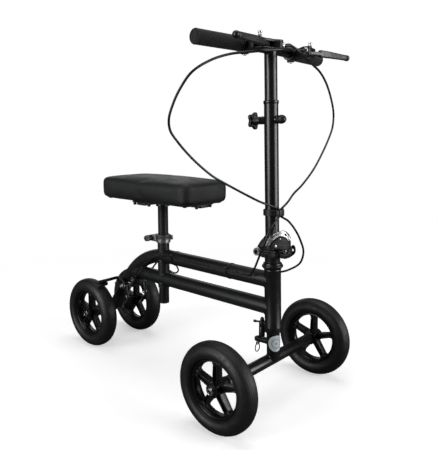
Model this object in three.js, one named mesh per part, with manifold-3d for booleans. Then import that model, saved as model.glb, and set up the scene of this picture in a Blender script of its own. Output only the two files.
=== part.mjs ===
// A knee scooter: a padded seat for one shin on a twin-tube frame, two steered front wheels, two rear wheels,
// a folding and telescoping steering column, and a scrub brake on each rear wheel, worked by a crossed cable.
// Millimetres, +X forward, +Y left, +Z up. The origin is on the ground under the middle of the object.

import * as THREE from "three";
import { mergeVertices } from "three/addons/utils/BufferGeometryUtils.js";
import Module from "manifold-3d";

const manifold = await Module();
manifold.setup();

// ---------------------------------------------------------------------------------- driving dimensions

const GAP = 0.3; // air between two pieces that touch
const SIDES = { right: -1, left: 1 };

const WHEEL = { radius: 101.5, width: 46, rim: 61.7, window: 57.8, hub: 17, inner: 27, outer: 19, bore: 6.3 };
const AXLE = { x: 297, z: WHEEL.radius, radius: 6, beam: 14, frontTrack: 385, rearTrack: 170 };
const NUT = { radius: 9.5, length: 7.7 };

const COLUMN = { footX: 307.7, lean: THREE.MathUtils.degToRad(2.1) };
const STEM = { radius: 15.6, bottom: 104, shoulder: 170.7, top: 350, bore: 11.5 };
const STEERER_RADIUS = 14.3;
const HEAD_TUBE = { radius: 19.4, bore: 15, bottom: 181, top: 323.5 };
const FOLD = { pivotX: -30, pivotZ: 363, seam: 369, hubX: 28.5, hubZ: 382 };
const OUTER_TUBE = { radius: 15.9, bore: 14.7, bottom: 385.3, top: 702 };
const INNER_TUBE = { radius: 14.3, bore: 12.4, bottom: 480 };
const KNOB_Z = 660;

const BAR = { x: 278, z: 810, radius: 11.1, bore: 9.1, straight: 30, endX: 262.5, endY: 222.5 };
const GRIP = { radius: 15, start: 97 };
const LEVER_PIVOT = { x: 322, y: 82, z: 805 };

const MAIN_TUBE = { radius: 19.05, bore: 16.6, upperZ: 295, lowerZ: 230 };
const ARC = { x: -55, z: 94, radius: MAIN_TUBE.upperZ - 94, sweep: THREE.MathUtils.degToRad(54.5) };
const POST = { x: -73, radius: 14, bore: 12.2, bottom: 160, top: 442.7 };
const SOCKET = { radius: 16.25, bottom: 205, top: 356 };
const CLAMP = { boltX: -109, z: 343, ear: 20, pinY: 28 };

const SEAT = { x: -73, length: 344, width: 169, bottom: 452.3, top: 511, corner: 26, board: 7.7 };

const BRAKE = { x: -205, z: 190, barX: -238, barZ: 208, tailX: -196, tailZ: 158, reach: 105, gap: 6.4 };
const LOCK = { x: 269, bottom: 152, top: 190 };
const CABLE_RADIUS = 2.5;

// ------------------------------------------------------------------------------------------- materials

const paint = (colour, roughness, metalness = 0) =>
  new THREE.MeshStandardMaterial({ color: colour, roughness, metalness });

const charcoalPaint = paint(0x26282b, 0.45, 0.2);
const blackPaint = paint(0x0d0e10, 0.25, 0.2);
const blackPlastic = paint(0x131416, 0.5);
const rimPlastic = paint(0x101113, 0.3);
const tyreRubber = paint(0x2a2b2d, 0.85);
const gripRubber = paint(0x26282a, 0.9);
const seatVinyl = paint(0x1f2024, 0.55);
const brightSteel = paint(0xb9bcc0, 0.3, 1);
const greyAlloy = paint(0x8d9094, 0.4, 0.9);
const boardWood = paint(0x6f5a41, 0.8);

// ------------------------------------------------------------------------------- solids and operations

const at = (x, y, z) => new THREE.Vector3(x, y, z);

function toSolid(geometry) {
  const bare = geometry.clone();
  bare.deleteAttribute("normal");
  bare.deleteAttribute("uv");
  const merged = mergeVertices(bare, 1e-3);
  const mesh = new manifold.Mesh({
    numProp: 3,
    vertProperties: merged.attributes.position.array,
    triVerts: new Uint32Array(merged.index.array),
  });
  return new manifold.Manifold(mesh);
}

function toGeometry(solid) {
  const mesh = solid.getMesh();
  const geometry = new THREE.BufferGeometry();
  geometry.setAttribute("position", new THREE.BufferAttribute(mesh.vertProperties, 3));
  geometry.setIndex(new THREE.BufferAttribute(mesh.triVerts, 1));
  geometry.computeVertexNormals();
  return geometry;
}

const join = (...pieces) => toGeometry(pieces.map(toSolid).reduce((all, piece) => all.add(piece)));

const cut = (piece, ...tools) =>
  toGeometry(tools.map(toSolid).reduce((left, tool) => left.subtract(tool), toSolid(piece)));

const common = (first, second) => toGeometry(toSolid(first).intersect(toSolid(second)));

/** Turns a geometry made along +Y so that it starts at `from` and runs towards `to`. */
function lay(geometry, from, to) {
  const turn = new THREE.Quaternion().setFromUnitVectors(at(0, 1, 0), to.clone().sub(from).normalize());
  return geometry.applyQuaternion(turn).translate(from.x, from.y, from.z);
}

/** A solid of revolution: `profile` lists [radius, distance along the axis] from one end of the axis on. */
const turned = (profile, from, to, sides = 16) =>
  lay(new THREE.LatheGeometry(profile.map(([r, along]) => new THREE.Vector2(r, along)), sides), from, to);

function rod(from, to, radius, sides = 12) {
  const length = from.distanceTo(to);
  return turned([[0, 0], [radius, 0], [radius, length], [0, length]], from, to, sides);
}

function pipe(from, to, radius, bore, sides = 18) {
  const length = from.distanceTo(to);
  return turned([[bore, 0], [radius, 0], [radius, length], [bore, length], [bore, 0]], from, to, sides);
}

const ball = (centre, radius, sides = 10) =>
  new THREE.SphereGeometry(radius, sides, sides / 2).translate(centre.x, centre.y, centre.z);

const block = (x0, x1, y0, y1, z0, z1) =>
  new THREE.BoxGeometry(x1 - x0, y1 - y0, z1 - z0).translate((x0 + x1) / 2, (y0 + y1) / 2, (z0 + z1) / 2);

const extruded = (shape, depth) =>
  new THREE.ExtrudeGeometry(shape, { depth, bevelEnabled: false, curveSegments: 4 });

/** An upright plate: `outline` lists [x, z], and the plate fills y0 to y1. */
function plate(outline, y0, y1) {
  const shape = new THREE.Shape(outline.map(([x, z]) => new THREE.Vector2(x, z)));
  return extruded(shape, y1 - y0).rotateX(Math.PI / 2).translate(0, y1, 0);
}

/** An upright plate across the object: `outline` lists [y, z], and the plate fills x0 to x1. */
function crossPlate(outline, x0, x1) {
  const shape = new THREE.Shape(outline.map(([y, z]) => new THREE.Vector2(-z, y)));
  return extruded(shape, x1 - x0).rotateY(Math.PI / 2).translate(x0, 0, 0);
}

/** A level slab: `outline` lists [x, y], and the slab fills z0 to z1. */
function slab(outline, z0, z1) {
  const shape = new THREE.Shape(outline.map(([x, y]) => new THREE.Vector2(x, y)));
  return extruded(shape, z1 - z0).translate(0, 0, z0);
}

function roundedRectangle(x0, x1, y0, y1, radius) {
  const shape = new THREE.Shape();
  shape.moveTo(x0 + radius, y0);
  shape.absarc(x1 - radius, y0 + radius, radius, -Math.PI / 2, 0);
  shape.absarc(x1 - radius, y1 - radius, radius, 0, Math.PI / 2);
  shape.absarc(x0 + radius, y1 - radius, radius, Math.PI / 2, Math.PI);
  shape.absarc(x0 + radius, y0 + radius, radius, Math.PI, 1.5 * Math.PI);
  return shape;
}

/** A path that is straight between its points, with one ring of an extrusion at each of them. */
class PointPath extends THREE.Curve {
  constructor(points) {
    super();
    this.points = points;
  }

  getPoint(t, target = new THREE.Vector3()) {
    const place = Math.min(Math.max(t, 0), 1) * (this.points.length - 1);
    const before = Math.min(Math.floor(place), this.points.length - 2);
    return target.lerpVectors(this.points[before], this.points[before + 1], place - before);
  }

  getPointAt(t, target) {
    return this.getPoint(t, target);
  }

  getTangentAt(t, target) {
    return this.getTangent(t, target);
  }
}

function circle(radius, sides) {
  const corners = [];
  for (let i = 0; i < sides; i += 1) {
    const angle = (2 * Math.PI * i) / sides;
    corners.push(new THREE.Vector2(radius * Math.cos(angle), radius * Math.sin(angle)));
  }
  return corners;
}

/** A round bar or, with a bore, a pipe through the points. */
function bentTube(points, radius, bore = 0, sides = 16) {
  const section = new THREE.Shape(circle(radius, sides));
  if (bore > 0) section.holes.push(new THREE.Path(circle(bore, sides / 2)));
  return new THREE.ExtrudeGeometry(section, { steps: points.length - 1, extrudePath: new PointPath(points) });
}

/** A cable of 8 sides on a smooth curve through hand-placed points. */
function cable(points, steps) {
  const route = new THREE.CatmullRomCurve3(points.map(([x, y, z]) => at(x, y, z)), false, "centripetal");
  return new THREE.ExtrudeGeometry(new THREE.Shape(circle(CABLE_RADIUS, 8)), { steps, extrudePath: route });
}

// ------------------------------------------------------------------------------------------ the groups

const scooter = new THREE.Group();

const column = new THREE.Group(); // its own z runs up the steering axis
column.position.set(COLUMN.footX, 0, 0);
column.rotation.y = -COLUMN.lean;
column.updateMatrixWorld(true);
scooter.add(column);

const onColumn = (x, y, z) => column.localToWorld(at(x, y, z));
const toColumn = (x, y, z) => column.worldToLocal(at(x, y, z));

function add(group, name, geometry, material) {
  const mesh = new THREE.Mesh(geometry, material);
  mesh.name = name;
  group.add(mesh);
}

// ------------------------------------------------------------------------------------------- the frame

/** The upper main tube's centre line: level from the head tube, round the arc, and down to the rear axle. */
function upperTubeLine() {
  const points = [at(290, 0, MAIN_TUBE.upperZ)];
  const steps = 9;
  for (let i = 0; i <= steps; i += 1) {
    const angle = (ARC.sweep * i) / steps;
    points.push(at(ARC.x - ARC.radius * Math.sin(angle), 0, ARC.z + ARC.radius * Math.cos(angle)));
  }
  points.push(at(-AXLE.x, 0, AXLE.z));
  return points;
}

function buildFrame() {
  const headTubeSpace = rod(onColumn(0, 0, 150), onColumn(0, 0, 350), HEAD_TUBE.radius + GAP, 20);
  const socketSpace = rod(at(POST.x, 0, 190), at(POST.x, 0, 370), SOCKET.radius + GAP, 20);
  const rearBeamSpace = rod(at(-AXLE.x, -40, AXLE.z), at(-AXLE.x, 40, AXLE.z), AXLE.beam + GAP, 20);
  const upperLine = upperTubeLine();
  const upper = bentTube(upperLine, MAIN_TUBE.radius, MAIN_TUBE.bore);
  const lowerLine = [at(295, 0, MAIN_TUBE.lowerZ), at(-204, 0, MAIN_TUBE.lowerZ)];
  const upperSpace = bentTube(upperLine, MAIN_TUBE.radius + GAP);
  add(scooter, "upper_main_tube", cut(upper, headTubeSpace, socketSpace, rearBeamSpace), charcoalPaint);
  add(
    scooter,
    "lower_main_tube",
    cut(bentTube(lowerLine, MAIN_TUBE.radius, MAIN_TUBE.bore), headTubeSpace, socketSpace, upperSpace),
    charcoalPaint,
  );

  const { radius, bottom, top } = SOCKET;
  const socket = pipe(at(POST.x, 0, bottom), at(POST.x, 0, top), radius, POST.radius + GAP);
  const sightHole = rod(at(POST.x, 0, 322), at(POST.x + 30, -28, 322), 3.5, 12);
  add(scooter, "seat_socket", cut(socket, sightHole), charcoalPaint);

  const rearHalf = AXLE.rearTrack / 2 - WHEEL.inner - 0.5;
  add(
    scooter,
    "rear_axle_beam",
    pipe(at(-AXLE.x, -rearHalf, AXLE.z), at(-AXLE.x, rearHalf, AXLE.z), AXLE.beam, AXLE.radius + GAP),
    charcoalPaint,
  );
  add(scooter, "rear_axle_shaft", axleShaft(-AXLE.x, AXLE.rearTrack / 2), brightSteel);
}

/** A plain axle with a domed nut outside each wheel. */
function axleShaft(x, halfTrack) {
  const nutStart = halfTrack + WHEEL.outer + GAP;
  const end = nutStart + NUT.length;
  const shaft = rod(at(x, -end + 1, AXLE.z), at(x, end - 1, AXLE.z), AXLE.radius);
  const nuts = Object.values(SIDES).map((side) =>
    turned(
      [[0, 0], [NUT.radius, 0], [NUT.radius, 4.5], [NUT.radius * 0.6, NUT.length], [0, NUT.length]],
      at(x, side * nutStart, AXLE.z),
      at(x, side * end, AXLE.z),
      18,
    ),
  );
  return join(shaft, ...nuts);
}

// ----------------------------------------------------------------------------------------- the headset

function buildHeadset() {
  const { radius, bore, bottom, top } = HEAD_TUBE;
  add(column, "head_tube", pipe(at(0, 0, bottom), at(0, 0, top), radius, bore), charcoalPaint);
  const play = STEERER_RADIUS + GAP;
  const race = pipe(at(0, 0, STEM.shoulder + GAP), at(0, 0, bottom - GAP), 20.5, play);
  add(column, "headset_lower", race, blackPlastic);
  const cup = [[play, 0], [20.5, 0], [24.5, 4], [24.5, 10], [21, 14], [play, 14], [play, 0]];
  add(column, "headset_upper", turned(cup, at(0, 0, top + GAP), at(0, 0, 340)), blackPlastic);
}

// ------------------------------------------------------------------------------- what turns when steered

function buildFork() {
  const beam = toColumn(AXLE.x, 0, AXLE.z);
  const beamSpace = rod(at(beam.x, -30, beam.z), at(beam.x, 30, beam.z), AXLE.beam + GAP, 20);
  const bore = rod(at(0, 0, 90), at(0, 0, 360), STEM.bore, 14);
  const profile = [
    [0, 0],
    [STEM.radius, 0],
    [STEM.radius, STEM.shoulder - STEM.bottom],
    [STEERER_RADIUS, STEM.shoulder - STEM.bottom],
    [STEERER_RADIUS, STEM.top - STEM.bottom],
    [0, STEM.top - STEM.bottom],
  ];
  const stem = turned(profile, at(0, 0, STEM.bottom), at(0, 0, STEM.top), 20);

  const hole = toColumn(LOCK.x, 0, 145);
  const tab = slab([[-52, -6], [-44, -9], [-10, -9], [-10, 9], [-44, 9], [-52, 6]], 140, 149.4);
  const eye = plate([[-44, 141], [-50, 133], [-50, 129], [-44, 129], [-38, 141]], -1.5, 1.5);
  const eyeHole = rod(at(-46.6, -5, 133.4), at(-46.6, 5, 133.4), 2.9, 12);
  const plungerHole = rod(at(hole.x, 0, 130), at(hole.x, 0, 160), 6, 12);
  add(column, "front_stem", cut(join(stem, tab, eye), beamSpace, bore, plungerHole, eyeHole), blackPaint);

  const frontHalf = AXLE.frontTrack / 2 - WHEEL.inner - 0.5;
  add(
    scooter,
    "front_axle_beam",
    pipe(at(AXLE.x, -frontHalf, AXLE.z), at(AXLE.x, frontHalf, AXLE.z), AXLE.beam, AXLE.radius + GAP),
    blackPaint,
  );
  add(scooter, "front_axle_shaft", axleShaft(AXLE.x, AXLE.frontTrack / 2), brightSteel);
}

// --------------------------------------------------------------------------------- the folding joint

function buildFoldBase() {
  const { pivotX, pivotZ, seam } = FOLD;
  const neck = rod(at(0, 0, 338.3), at(0, 0, 352), 17.8, 20);
  const body = extruded(roundedRectangle(-24, 24, -17, 17, 8), seam - 350).translate(0, 0, 350);
  const ears = join(
    rod(at(pivotX, -17, pivotZ), at(pivotX, 17, pivotZ), 10, 20),
    plate([[pivotX, pivotZ - 10], [-20, 350.5], [-20, seam - 0.5], [pivotX, pivotZ + 10]], -17, 17),
  );
  const hook = [
    [22, 352],
    [41, 352],
    [50, 358],
    [56, 363.5],
    [58.5, 368],
    [58.8, 373],
    [58, 378.5],
    [55.5, 382.5],
    [51.5, 383.6],
    [48, 381.3],
    [47.5, 377.3],
    [50.5, 374.8],
    [54, 373.5],
    [54.5, 370.5],
    [52, 369],
    [47, 369],
    [42, 365],
    [38, 362],
    [22, 362],
  ];
  const nut = join(
    rod(at(42, -8, 370.5), at(42, -5, 370.5), 7, 14),
    rod(at(42, -12.3, 370.5), at(42, -7.5, 370.5), 6.2, 6),
    rod(at(42, -14, 370.5), at(42, -12, 370.5), 3),
  );
  const steererSpace = rod(at(0, 0, 330), at(0, 0, STEM.top + 1), STEERER_RADIUS + GAP, 20);
  const eyeSpace = rod(at(pivotX, -9.2, pivotZ), at(pivotX, 9.2, pivotZ), 11, 20);
  const pinHole = rod(at(pivotX, -20, pivotZ), at(pivotX, 20, pivotZ), 4.3, 12);
  const latchSpace = block(33, 62, -5, 5, 361, 385);
  const hooks = cut(plate(hook, -8, 8), latchSpace);
  const base = cut(join(neck, body, ears, hooks, nut), steererSpace, eyeSpace, pinHole);
  add(column, "fold_base", base, blackPaint);

  const boltHead = [[0, 0], [6.5, 0], [9.25, 3], [9.25, 5.7], [0, 5.7]];
  const bolt = join(
    rod(at(pivotX, -18, pivotZ), at(pivotX, 18, pivotZ), 4, 12),
    turned(boltHead, at(pivotX, -23, pivotZ), at(pivotX, 0, pivotZ)),
    rod(at(pivotX, 17.3, pivotZ), at(pivotX, 22, pivotZ), 7, 6),
  );
  add(column, "fold_pivot_bolt", bolt, brightSteel);
}

function buildFoldHead() {
  const { pivotX, pivotZ, seam, hubX, hubZ } = FOLD;
  const bottom = seam + GAP;
  const body = cut(
    rod(at(0, 0, bottom), at(0, 0, 400), 20.5, 20),
    block(-30, 30, 18.2, 30, 360, 410),
    block(-30, 30, -30, -18.2, 360, 410),
  );
  const gusset = [[-39, 365], [-24, 391], [-15, 398], [-15, bottom], [-20.9, bottom], [-22, 364], [-30, 360]];
  const lug = join(
    rod(at(hubX, -18.2, hubZ), at(hubX, 18.2, hubZ), 8.5, 14),
    block(14, hubX, -18.2, 18.2, hubZ - 8, hubZ + 8),
  );
  const head = join(
    body,
    rod(at(pivotX, -8.8, pivotZ), at(pivotX, 8.8, pivotZ), 9.5, 14),
    plate(gusset, -8.8, 8.8),
    lug,
  );
  const tubeSpace = rod(at(0, 0, 385), at(0, 0, 410), OUTER_TUBE.radius + GAP, 20);
  const wellSpace = rod(at(0, 0, 374), at(0, 0, 390), 12, 14);
  const pinHole = rod(at(pivotX, -20, pivotZ), at(pivotX, 20, pivotZ), 4.3, 12);
  const hubHole = rod(at(hubX, -25, hubZ), at(hubX, 25, hubZ), 4.3, 12);
  const swingSpace = block(18.6, 45, -7.2, 7.2, 360, 395);
  add(column, "fold_head", cut(head, tubeSpace, wellSpace, pinHole, hubHole, swingSpace), blackPaint);

  const latch = join(
    rod(at(hubX, -27, hubZ), at(hubX, 21, hubZ), 4, 12),
    rod(at(hubX, -6.8, hubZ), at(hubX, 6.8, hubZ), 6.5, 12),
    rod(at(hubX, 0, hubZ), at(50.6, 0, 370.9), 3, 12),
    rod(at(45.4, 0, 373.5), at(50, 0, 371.2), 4.4, 6),
    rod(at(hubX, 18.5, hubZ), at(hubX, 22, hubZ), 7, 6),
  );
  add(column, "latch_bolt", latch, brightSteel);
}

/** The curved quick-release lever, and the half-round ribbed cap that turns with it inside the curve. */
function buildFoldLever() {
  const { hubX, hubZ } = FOLD;
  const aroundHub = (outline) => outline.map(([x, z]) => [hubX + x, hubZ + z]);
  const outer = [[-31, -3], [-27.5, 6], [-20.5, 16.5], [-8, 27.5], [5.5, 34.3], [14, 36.6]];
  const end = [[21.5, 36], [28.5, 32], [33.5, 26], [36.2, 18], [32.5, 16.3]];
  const inner = [[28, 19.8], [21.5, 23], [12, 24], [4, 19.8], [-3.5, 15], [-10, 10], [-14, 5.5], [-18, -1.5]];
  const back = [[-19, -6], [-17, 3], [-10, 11.5], [3, 21.5], [11.5, 26], [21, 24.5], [29, 20.5], [35, 16]];
  const cap = [
    [-16.8, -6],
    [-16.8, -1.5],
    [-13, 5],
    [-9.2, 9],
    [-2.9, 14],
    [4.4, 18.7],
    [12.1, 22.9],
    [21.3, 21.9],
    [27.4, 18.8],
    [32.6, 14.6],
    [33.5, 4],
    [33, -6],
  ];
  const pinHole = rod(at(hubX, -30, hubZ), at(hubX, -15, hubZ), 4.3, 12);
  const arm = plate(aroundHub([...outer, ...end, ...inner]), -25.5, -19);
  const web = plate(aroundHub([...back, [35, -6]]), -20.4, -18.8);
  const lever = cut(join(arm, web), pinHole);
  add(column, "fold_lever", lever, brightSteel);
  add(column, "fold_lever_hub", cut(plate(aroundHub(cap), -26.5, -20.7), pinHole), blackPlastic);
}

// --------------------------------------------------------------------------- the telescoping column

function buildColumnTubes() {
  const { radius, bore, bottom, top } = OUTER_TUBE;
  const lip = rod(at(0, 0, top - 7), at(0, 0, top), 17.2, 20);
  const tube = join(rod(at(0, 0, bottom), at(0, 0, top), radius, 20), lip);
  const knobBoss = rod(at(-28, 0, KNOB_Z), at(-8, 0, KNOB_Z), 9, 14);
  const pinBoss = rod(at(8, 0, KNOB_Z), at(18, 0, KNOB_Z), 8, 14);
  const tubeBore = rod(at(0, 0, bottom - 1), at(0, 0, top + 1), bore, 20);
  const knobHole = rod(at(-40, 0, KNOB_Z), at(0, 0, KNOB_Z), 4.3, 14);
  const pinHole = rod(at(0, 0, KNOB_Z), at(30, 0, KNOB_Z), 3.5, 14);
  const outer = cut(join(tube, knobBoss, pinBoss), tubeBore, knobHole, pinHole);
  add(column, "column_outer_tube", outer, blackPaint);

  const bar = toColumn(BAR.x, 0, BAR.z);
  const barSpace = rod(at(bar.x, -30, bar.z), at(bar.x, 30, bar.z), BAR.radius + GAP, 20);
  const inner = pipe(at(0, 0, INNER_TUBE.bottom), at(0, 0, bar.z), INNER_TUBE.radius, INNER_TUBE.bore);
  add(column, "column_inner_tube", cut(inner, barSpace), blackPaint);

  const band = join(rod(at(0, 0, 447.5), at(0, 0, 461.5), 20, 20), block(14, 28, -9.5, 9.5, 447.2, 461.8));
  add(column, "cable_band", cut(band, rod(at(0, 0, 440), at(0, 0, 470), radius + GAP, 20)), blackPlastic);
}

/** A star knob with five lobes on a stud, and the spring pin opposite it. */
function buildHeightLock() {
  const corners = [];
  const lobes = 5;
  for (let i = 0; i < lobes * 5; i += 1) {
    const angle = (2 * Math.PI * i) / (lobes * 5);
    const reach = 17.6 + 2.6 * Math.cos(lobes * angle);
    corners.push(new THREE.Vector2(reach * Math.cos(angle), reach * Math.sin(angle)));
  }
  const star = extruded(new THREE.Shape(corners), 9).rotateY(Math.PI / 2).translate(-53, 0, KNOB_Z);
  const knob = join(
    star,
    rod(at(-45, 0, KNOB_Z), at(-28.4, 0, KNOB_Z), 8, 12),
    rod(at(-30, 0, KNOB_Z), at(-15, 0, KNOB_Z), 4, 14),
  );
  add(column, "height_knob", knob, blackPlastic);
  const pin = join(
    rod(at(15.2, 0, KNOB_Z), at(24, 0, KNOB_Z), 3.2, 12),
    rod(at(18.4, 0, KNOB_Z), at(28, 0, KNOB_Z), 8.6, 12),
    ball(at(28.5, 0, KNOB_Z), 9.4),
  );
  add(column, "height_pin", pin, blackPlastic);
}

// ------------------------------------------------------------------------------------ the handlebar

/** A point on the bar's centre line at distance y from the middle, on the given side. */
function onBar(side, y) {
  const share = Math.max(0, y - BAR.straight) / (BAR.endY - BAR.straight);
  return at(BAR.x + (BAR.endX - BAR.x) * share, side * y, BAR.z);
}

function buildHandlebar() {
  const line = [onBar(-1, 219.5), onBar(-1, BAR.straight), onBar(1, BAR.straight), onBar(1, 219.5)];
  add(scooter, "handlebar_tube", bentTube(line, BAR.radius, BAR.bore), blackPaint);
  for (const [name, side] of Object.entries(SIDES)) {
    const from = onBar(side, GRIP.start);
    const end = onBar(side, BAR.endY);
    const length = from.distanceTo(end);
    const { radius } = GRIP;
    const outline = [[0, 0], [radius, 0], [radius, length - 2], [radius - 3, length], [0, length]];
    const barSpace = rod(onBar(side, GRIP.start - 5), onBar(side, BAR.endY - 2.7), BAR.radius + GAP, 20);
    add(scooter, `grip_${name}`, cut(turned(outline, from, end), barSpace), gripRubber);
    add(scooter, `lever_perch_${name}`, leverPerch(side), blackPaint);
    add(scooter, `brake_lever_${name}`, brakeLever(side), greyAlloy);
    add(scooter, `parking_pin_${name}`, parkingPin(side), brightSteel);
  }
}

/** Mirrors an outline of [x, y] to the given side and keeps it running anticlockwise. */
const onSide = (outline, side) => (side > 0 ? outline : outline.map(([x, y]) => [x, -y]).reverse());

function leverPerch(side) {
  const { x, y } = LEVER_PIVOT;
  const outline = [
    [286, 74],
    [308, 62],
    [330, 46],
    [346, 47],
    [346, 58],
    [337, 72],
    [334, 88],
    [330, 101],
    [312, 101],
    [304, 95],
    [286, 95],
  ];
  const body = slab(onSide(outline, side), 797.5, 816);
  const clamp = rod(onBar(side, 74), onBar(side, 95), 16, 20);
  const adjuster = rod(at(336, side * 56, 807), at(341, side * 38.5, 807), 4, 14);
  const barSpace = rod(onBar(side, 60), onBar(side, 120), BAR.radius + GAP, 20);
  const slot = slab(onSide([[306, 68], [350, 68], [350, 110], [306, 110]], side), 800.7, 810.8);
  const pivotHole = rod(at(x, side * y, 780), at(x, side * y, 830), 2.8, 12);
  const pinHole = rod(at(319, side * 93, 808), at(319, side * 93, 830), 3.3, 12);
  return join(cut(join(body, clamp, adjuster), barSpace, slot, pivotHole, pinHole), pivot(side));
}

/** The lever's pivot pin, held in the perch by a head at each end. */
function pivot(side) {
  const { x, y } = LEVER_PIVOT;
  return join(
    rod(at(x, side * y, 795.8), at(x, side * y, 799), 4.5, 12),
    rod(at(x, side * y, 814), at(x, side * y, 818), 4.5, 12),
    rod(at(x, side * y, 797), at(x, side * y, 817), 2.5, 12),
  );
}

function brakeLever(side) {
  const { x, y } = LEVER_PIVOT;
  const outline = [
    [315, 82],
    [319, 74],
    [328, 73],
    [334, 84],
    [341, 104],
    [347, 135],
    [351, 170],
    [355, 203],
    [345, 205],
    [341, 172],
    [336, 140],
    [330, 112],
    [322, 92],
  ];
  const depth = [
    [66, 802],
    [103.5, 802],
    [106, 799.2],
    [150, 799.4],
    [208, 799.8],
    [208, 811.4],
    [150, 812.8],
    [120, 814.4],
    [106, 813.6],
    [103.5, 809.4],
    [66, 809.4],
  ];
  const sideView = crossPlate(depth.map(([along, z]) => [side * along, z]), 300, 370);
  const blade = common(slab(onSide(outline, side), 790, 825), sideView);
  const hub = rod(at(x, side * y, 801.1), at(x, side * y, 810.4), 7.5, 12);
  const pivotHole = rod(at(x, side * y, 790), at(x, side * y, 820), 2.8, 12);
  return cut(join(blade, hub, ball(at(350, side * 205, 805.5), 7)), pivotHole);
}

const parkingPin = (side) =>
  join(
    rod(at(319, side * 93, 812.4), at(319, side * 93, 828), 3, 12),
    rod(at(319, side * 93, 827), at(319, side * 93, 832), 4.5, 14),
  );

// ------------------------------------------------------------------------------------------ the seat

function buildSeat() {
  const { x, length, width, bottom, top, corner, board } = SEAT;
  const half = length / 2;
  const edge = 12;
  const inward = (inset, radius) =>
    roundedRectangle(x - half + inset, x + half - inset, inset - width / 2, width / 2 - inset, radius);
  const pad = new THREE.ExtrudeGeometry(inward(edge, corner - edge), {
    depth: top - bottom - edge,
    bevelThickness: edge,
    bevelSize: edge,
    bevelSegments: 2,
    curveSegments: 4,
  }).translate(0, 0, bottom);
  const rim = 11;
  const below = slab([[x - 200, -100], [x + 200, -100], [x + 200, 100], [x - 200, 100]], bottom - 40, bottom);
  const recess = extruded(inward(rim, 12), board + 20).translate(0, 0, bottom - 20);
  add(scooter, "seat_pad", cut(pad, below, recess), seatVinyl);
  add(scooter, "seat_board", extruded(inward(rim + GAP, 12), board - GAP).translate(0, 0, bottom), boardWood);

  const deckZ = POST.top + GAP;
  const topZ = bottom - GAP;
  const collar = rod(at(x, 0, deckZ - 9), at(x, 0, deckZ + 1), 19, 20);
  const cross = [
    block(x - 156, x + 156, -16, 16, deckZ, topZ),
    block(x - 17, x + 17, -78, 78, deckZ, topZ),
    block(x - 158, x + 158, -32, 32, topZ - 2.5, topZ),
    block(x - 36, x + 36, -79, 79, topZ - 2.5, topZ),
  ];
  const bolts = [[28, 74], [-28, 74], [28, -74], [-28, -74], [151, 25], [151, -25], [-151, 25], [-151, -25]].map(
    ([along, y]) => rod(at(x + along, y, deckZ - 1), at(x + along, y, topZ - 1), 4),
  );
  const postSpace = rod(at(x, 0, deckZ - 20), at(x, 0, deckZ), POST.radius + GAP, 20);
  add(scooter, "seat_bracket", cut(join(collar, ...cross, ...bolts), postSpace), blackPaint);
  const post = pipe(at(x, 0, POST.bottom), at(x, 0, POST.top), POST.radius, POST.bore);
  add(scooter, "seat_post", post, blackPaint);
}

function buildSeatClamp() {
  const { boltX, z, ear, pinY } = CLAMP;
  const band = join(
    rod(at(POST.x, 0, z - 10), at(POST.x, 0, z + 12.5), 19.8, 20),
    block(boltX - 8, POST.x, -ear, ear, z - 9, z + 9),
  );
  const socketSpace = rod(at(POST.x, 0, 300), at(POST.x, 0, 370), SOCKET.radius + GAP, 20);
  const split = block(boltX - 20, POST.x, -2.5, 2.5, z - 20, z + 20);
  const earSides = [-1, 1].map((side) =>
    block(boltX - 20, POST.x - 19.5, side * 22 - 8, side * 22 + 8, z + 9, z + 20),
  );
  const boltHole = rod(at(boltX, -40, z), at(boltX, 40, z), 3.3, 12);
  add(scooter, "seat_clamp_collar", cut(band, socketSpace, split, boltHole, ...earSides), greyAlloy);

  const bolt = join(
    rod(at(boltX, -33, z), at(boltX, 20.4, z), 3, 12),
    rod(at(boltX, 20, z), at(boltX, pinY, z), 2.2, 12),
    rod(at(boltX, -33, z), at(boltX, -20.4, z), 8.5, 14),
    rod(at(boltX, pinY, z - 8), at(boltX, pinY, z + 8), 2.2, 12),
  );
  add(scooter, "seat_clamp_bolt", bolt, brightSteel);

  const arm = [
    [boltX, pinY - 7.2],
    [boltX + 12, pinY - 4],
    [boltX + 38, pinY - 5],
    [boltX + 44, pinY - 3],
    [boltX + 44, pinY + 2],
    [boltX + 14, pinY + 5],
    [boltX, pinY + 7.2],
  ];
  const cam = rod(at(boltX, pinY, z - 6.5), at(boltX, pinY, z + 6.5), 7.3, 14);
  const lever = join(cam, slab(arm, z - 6.5, z + 6.5));
  const fork = cut(
    lever,
    rod(at(boltX, pinY, z - 10), at(boltX, pinY, z + 10), 2.5, 12),
    rod(at(boltX, pinY, z - 2.5), at(boltX, pinY, z + 2.5), 9.5, 14),
  );
  add(scooter, "seat_clamp_lever", fork, greyAlloy);
}

// ---------------------------------------------------------------------------------- the steering lock

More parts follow.
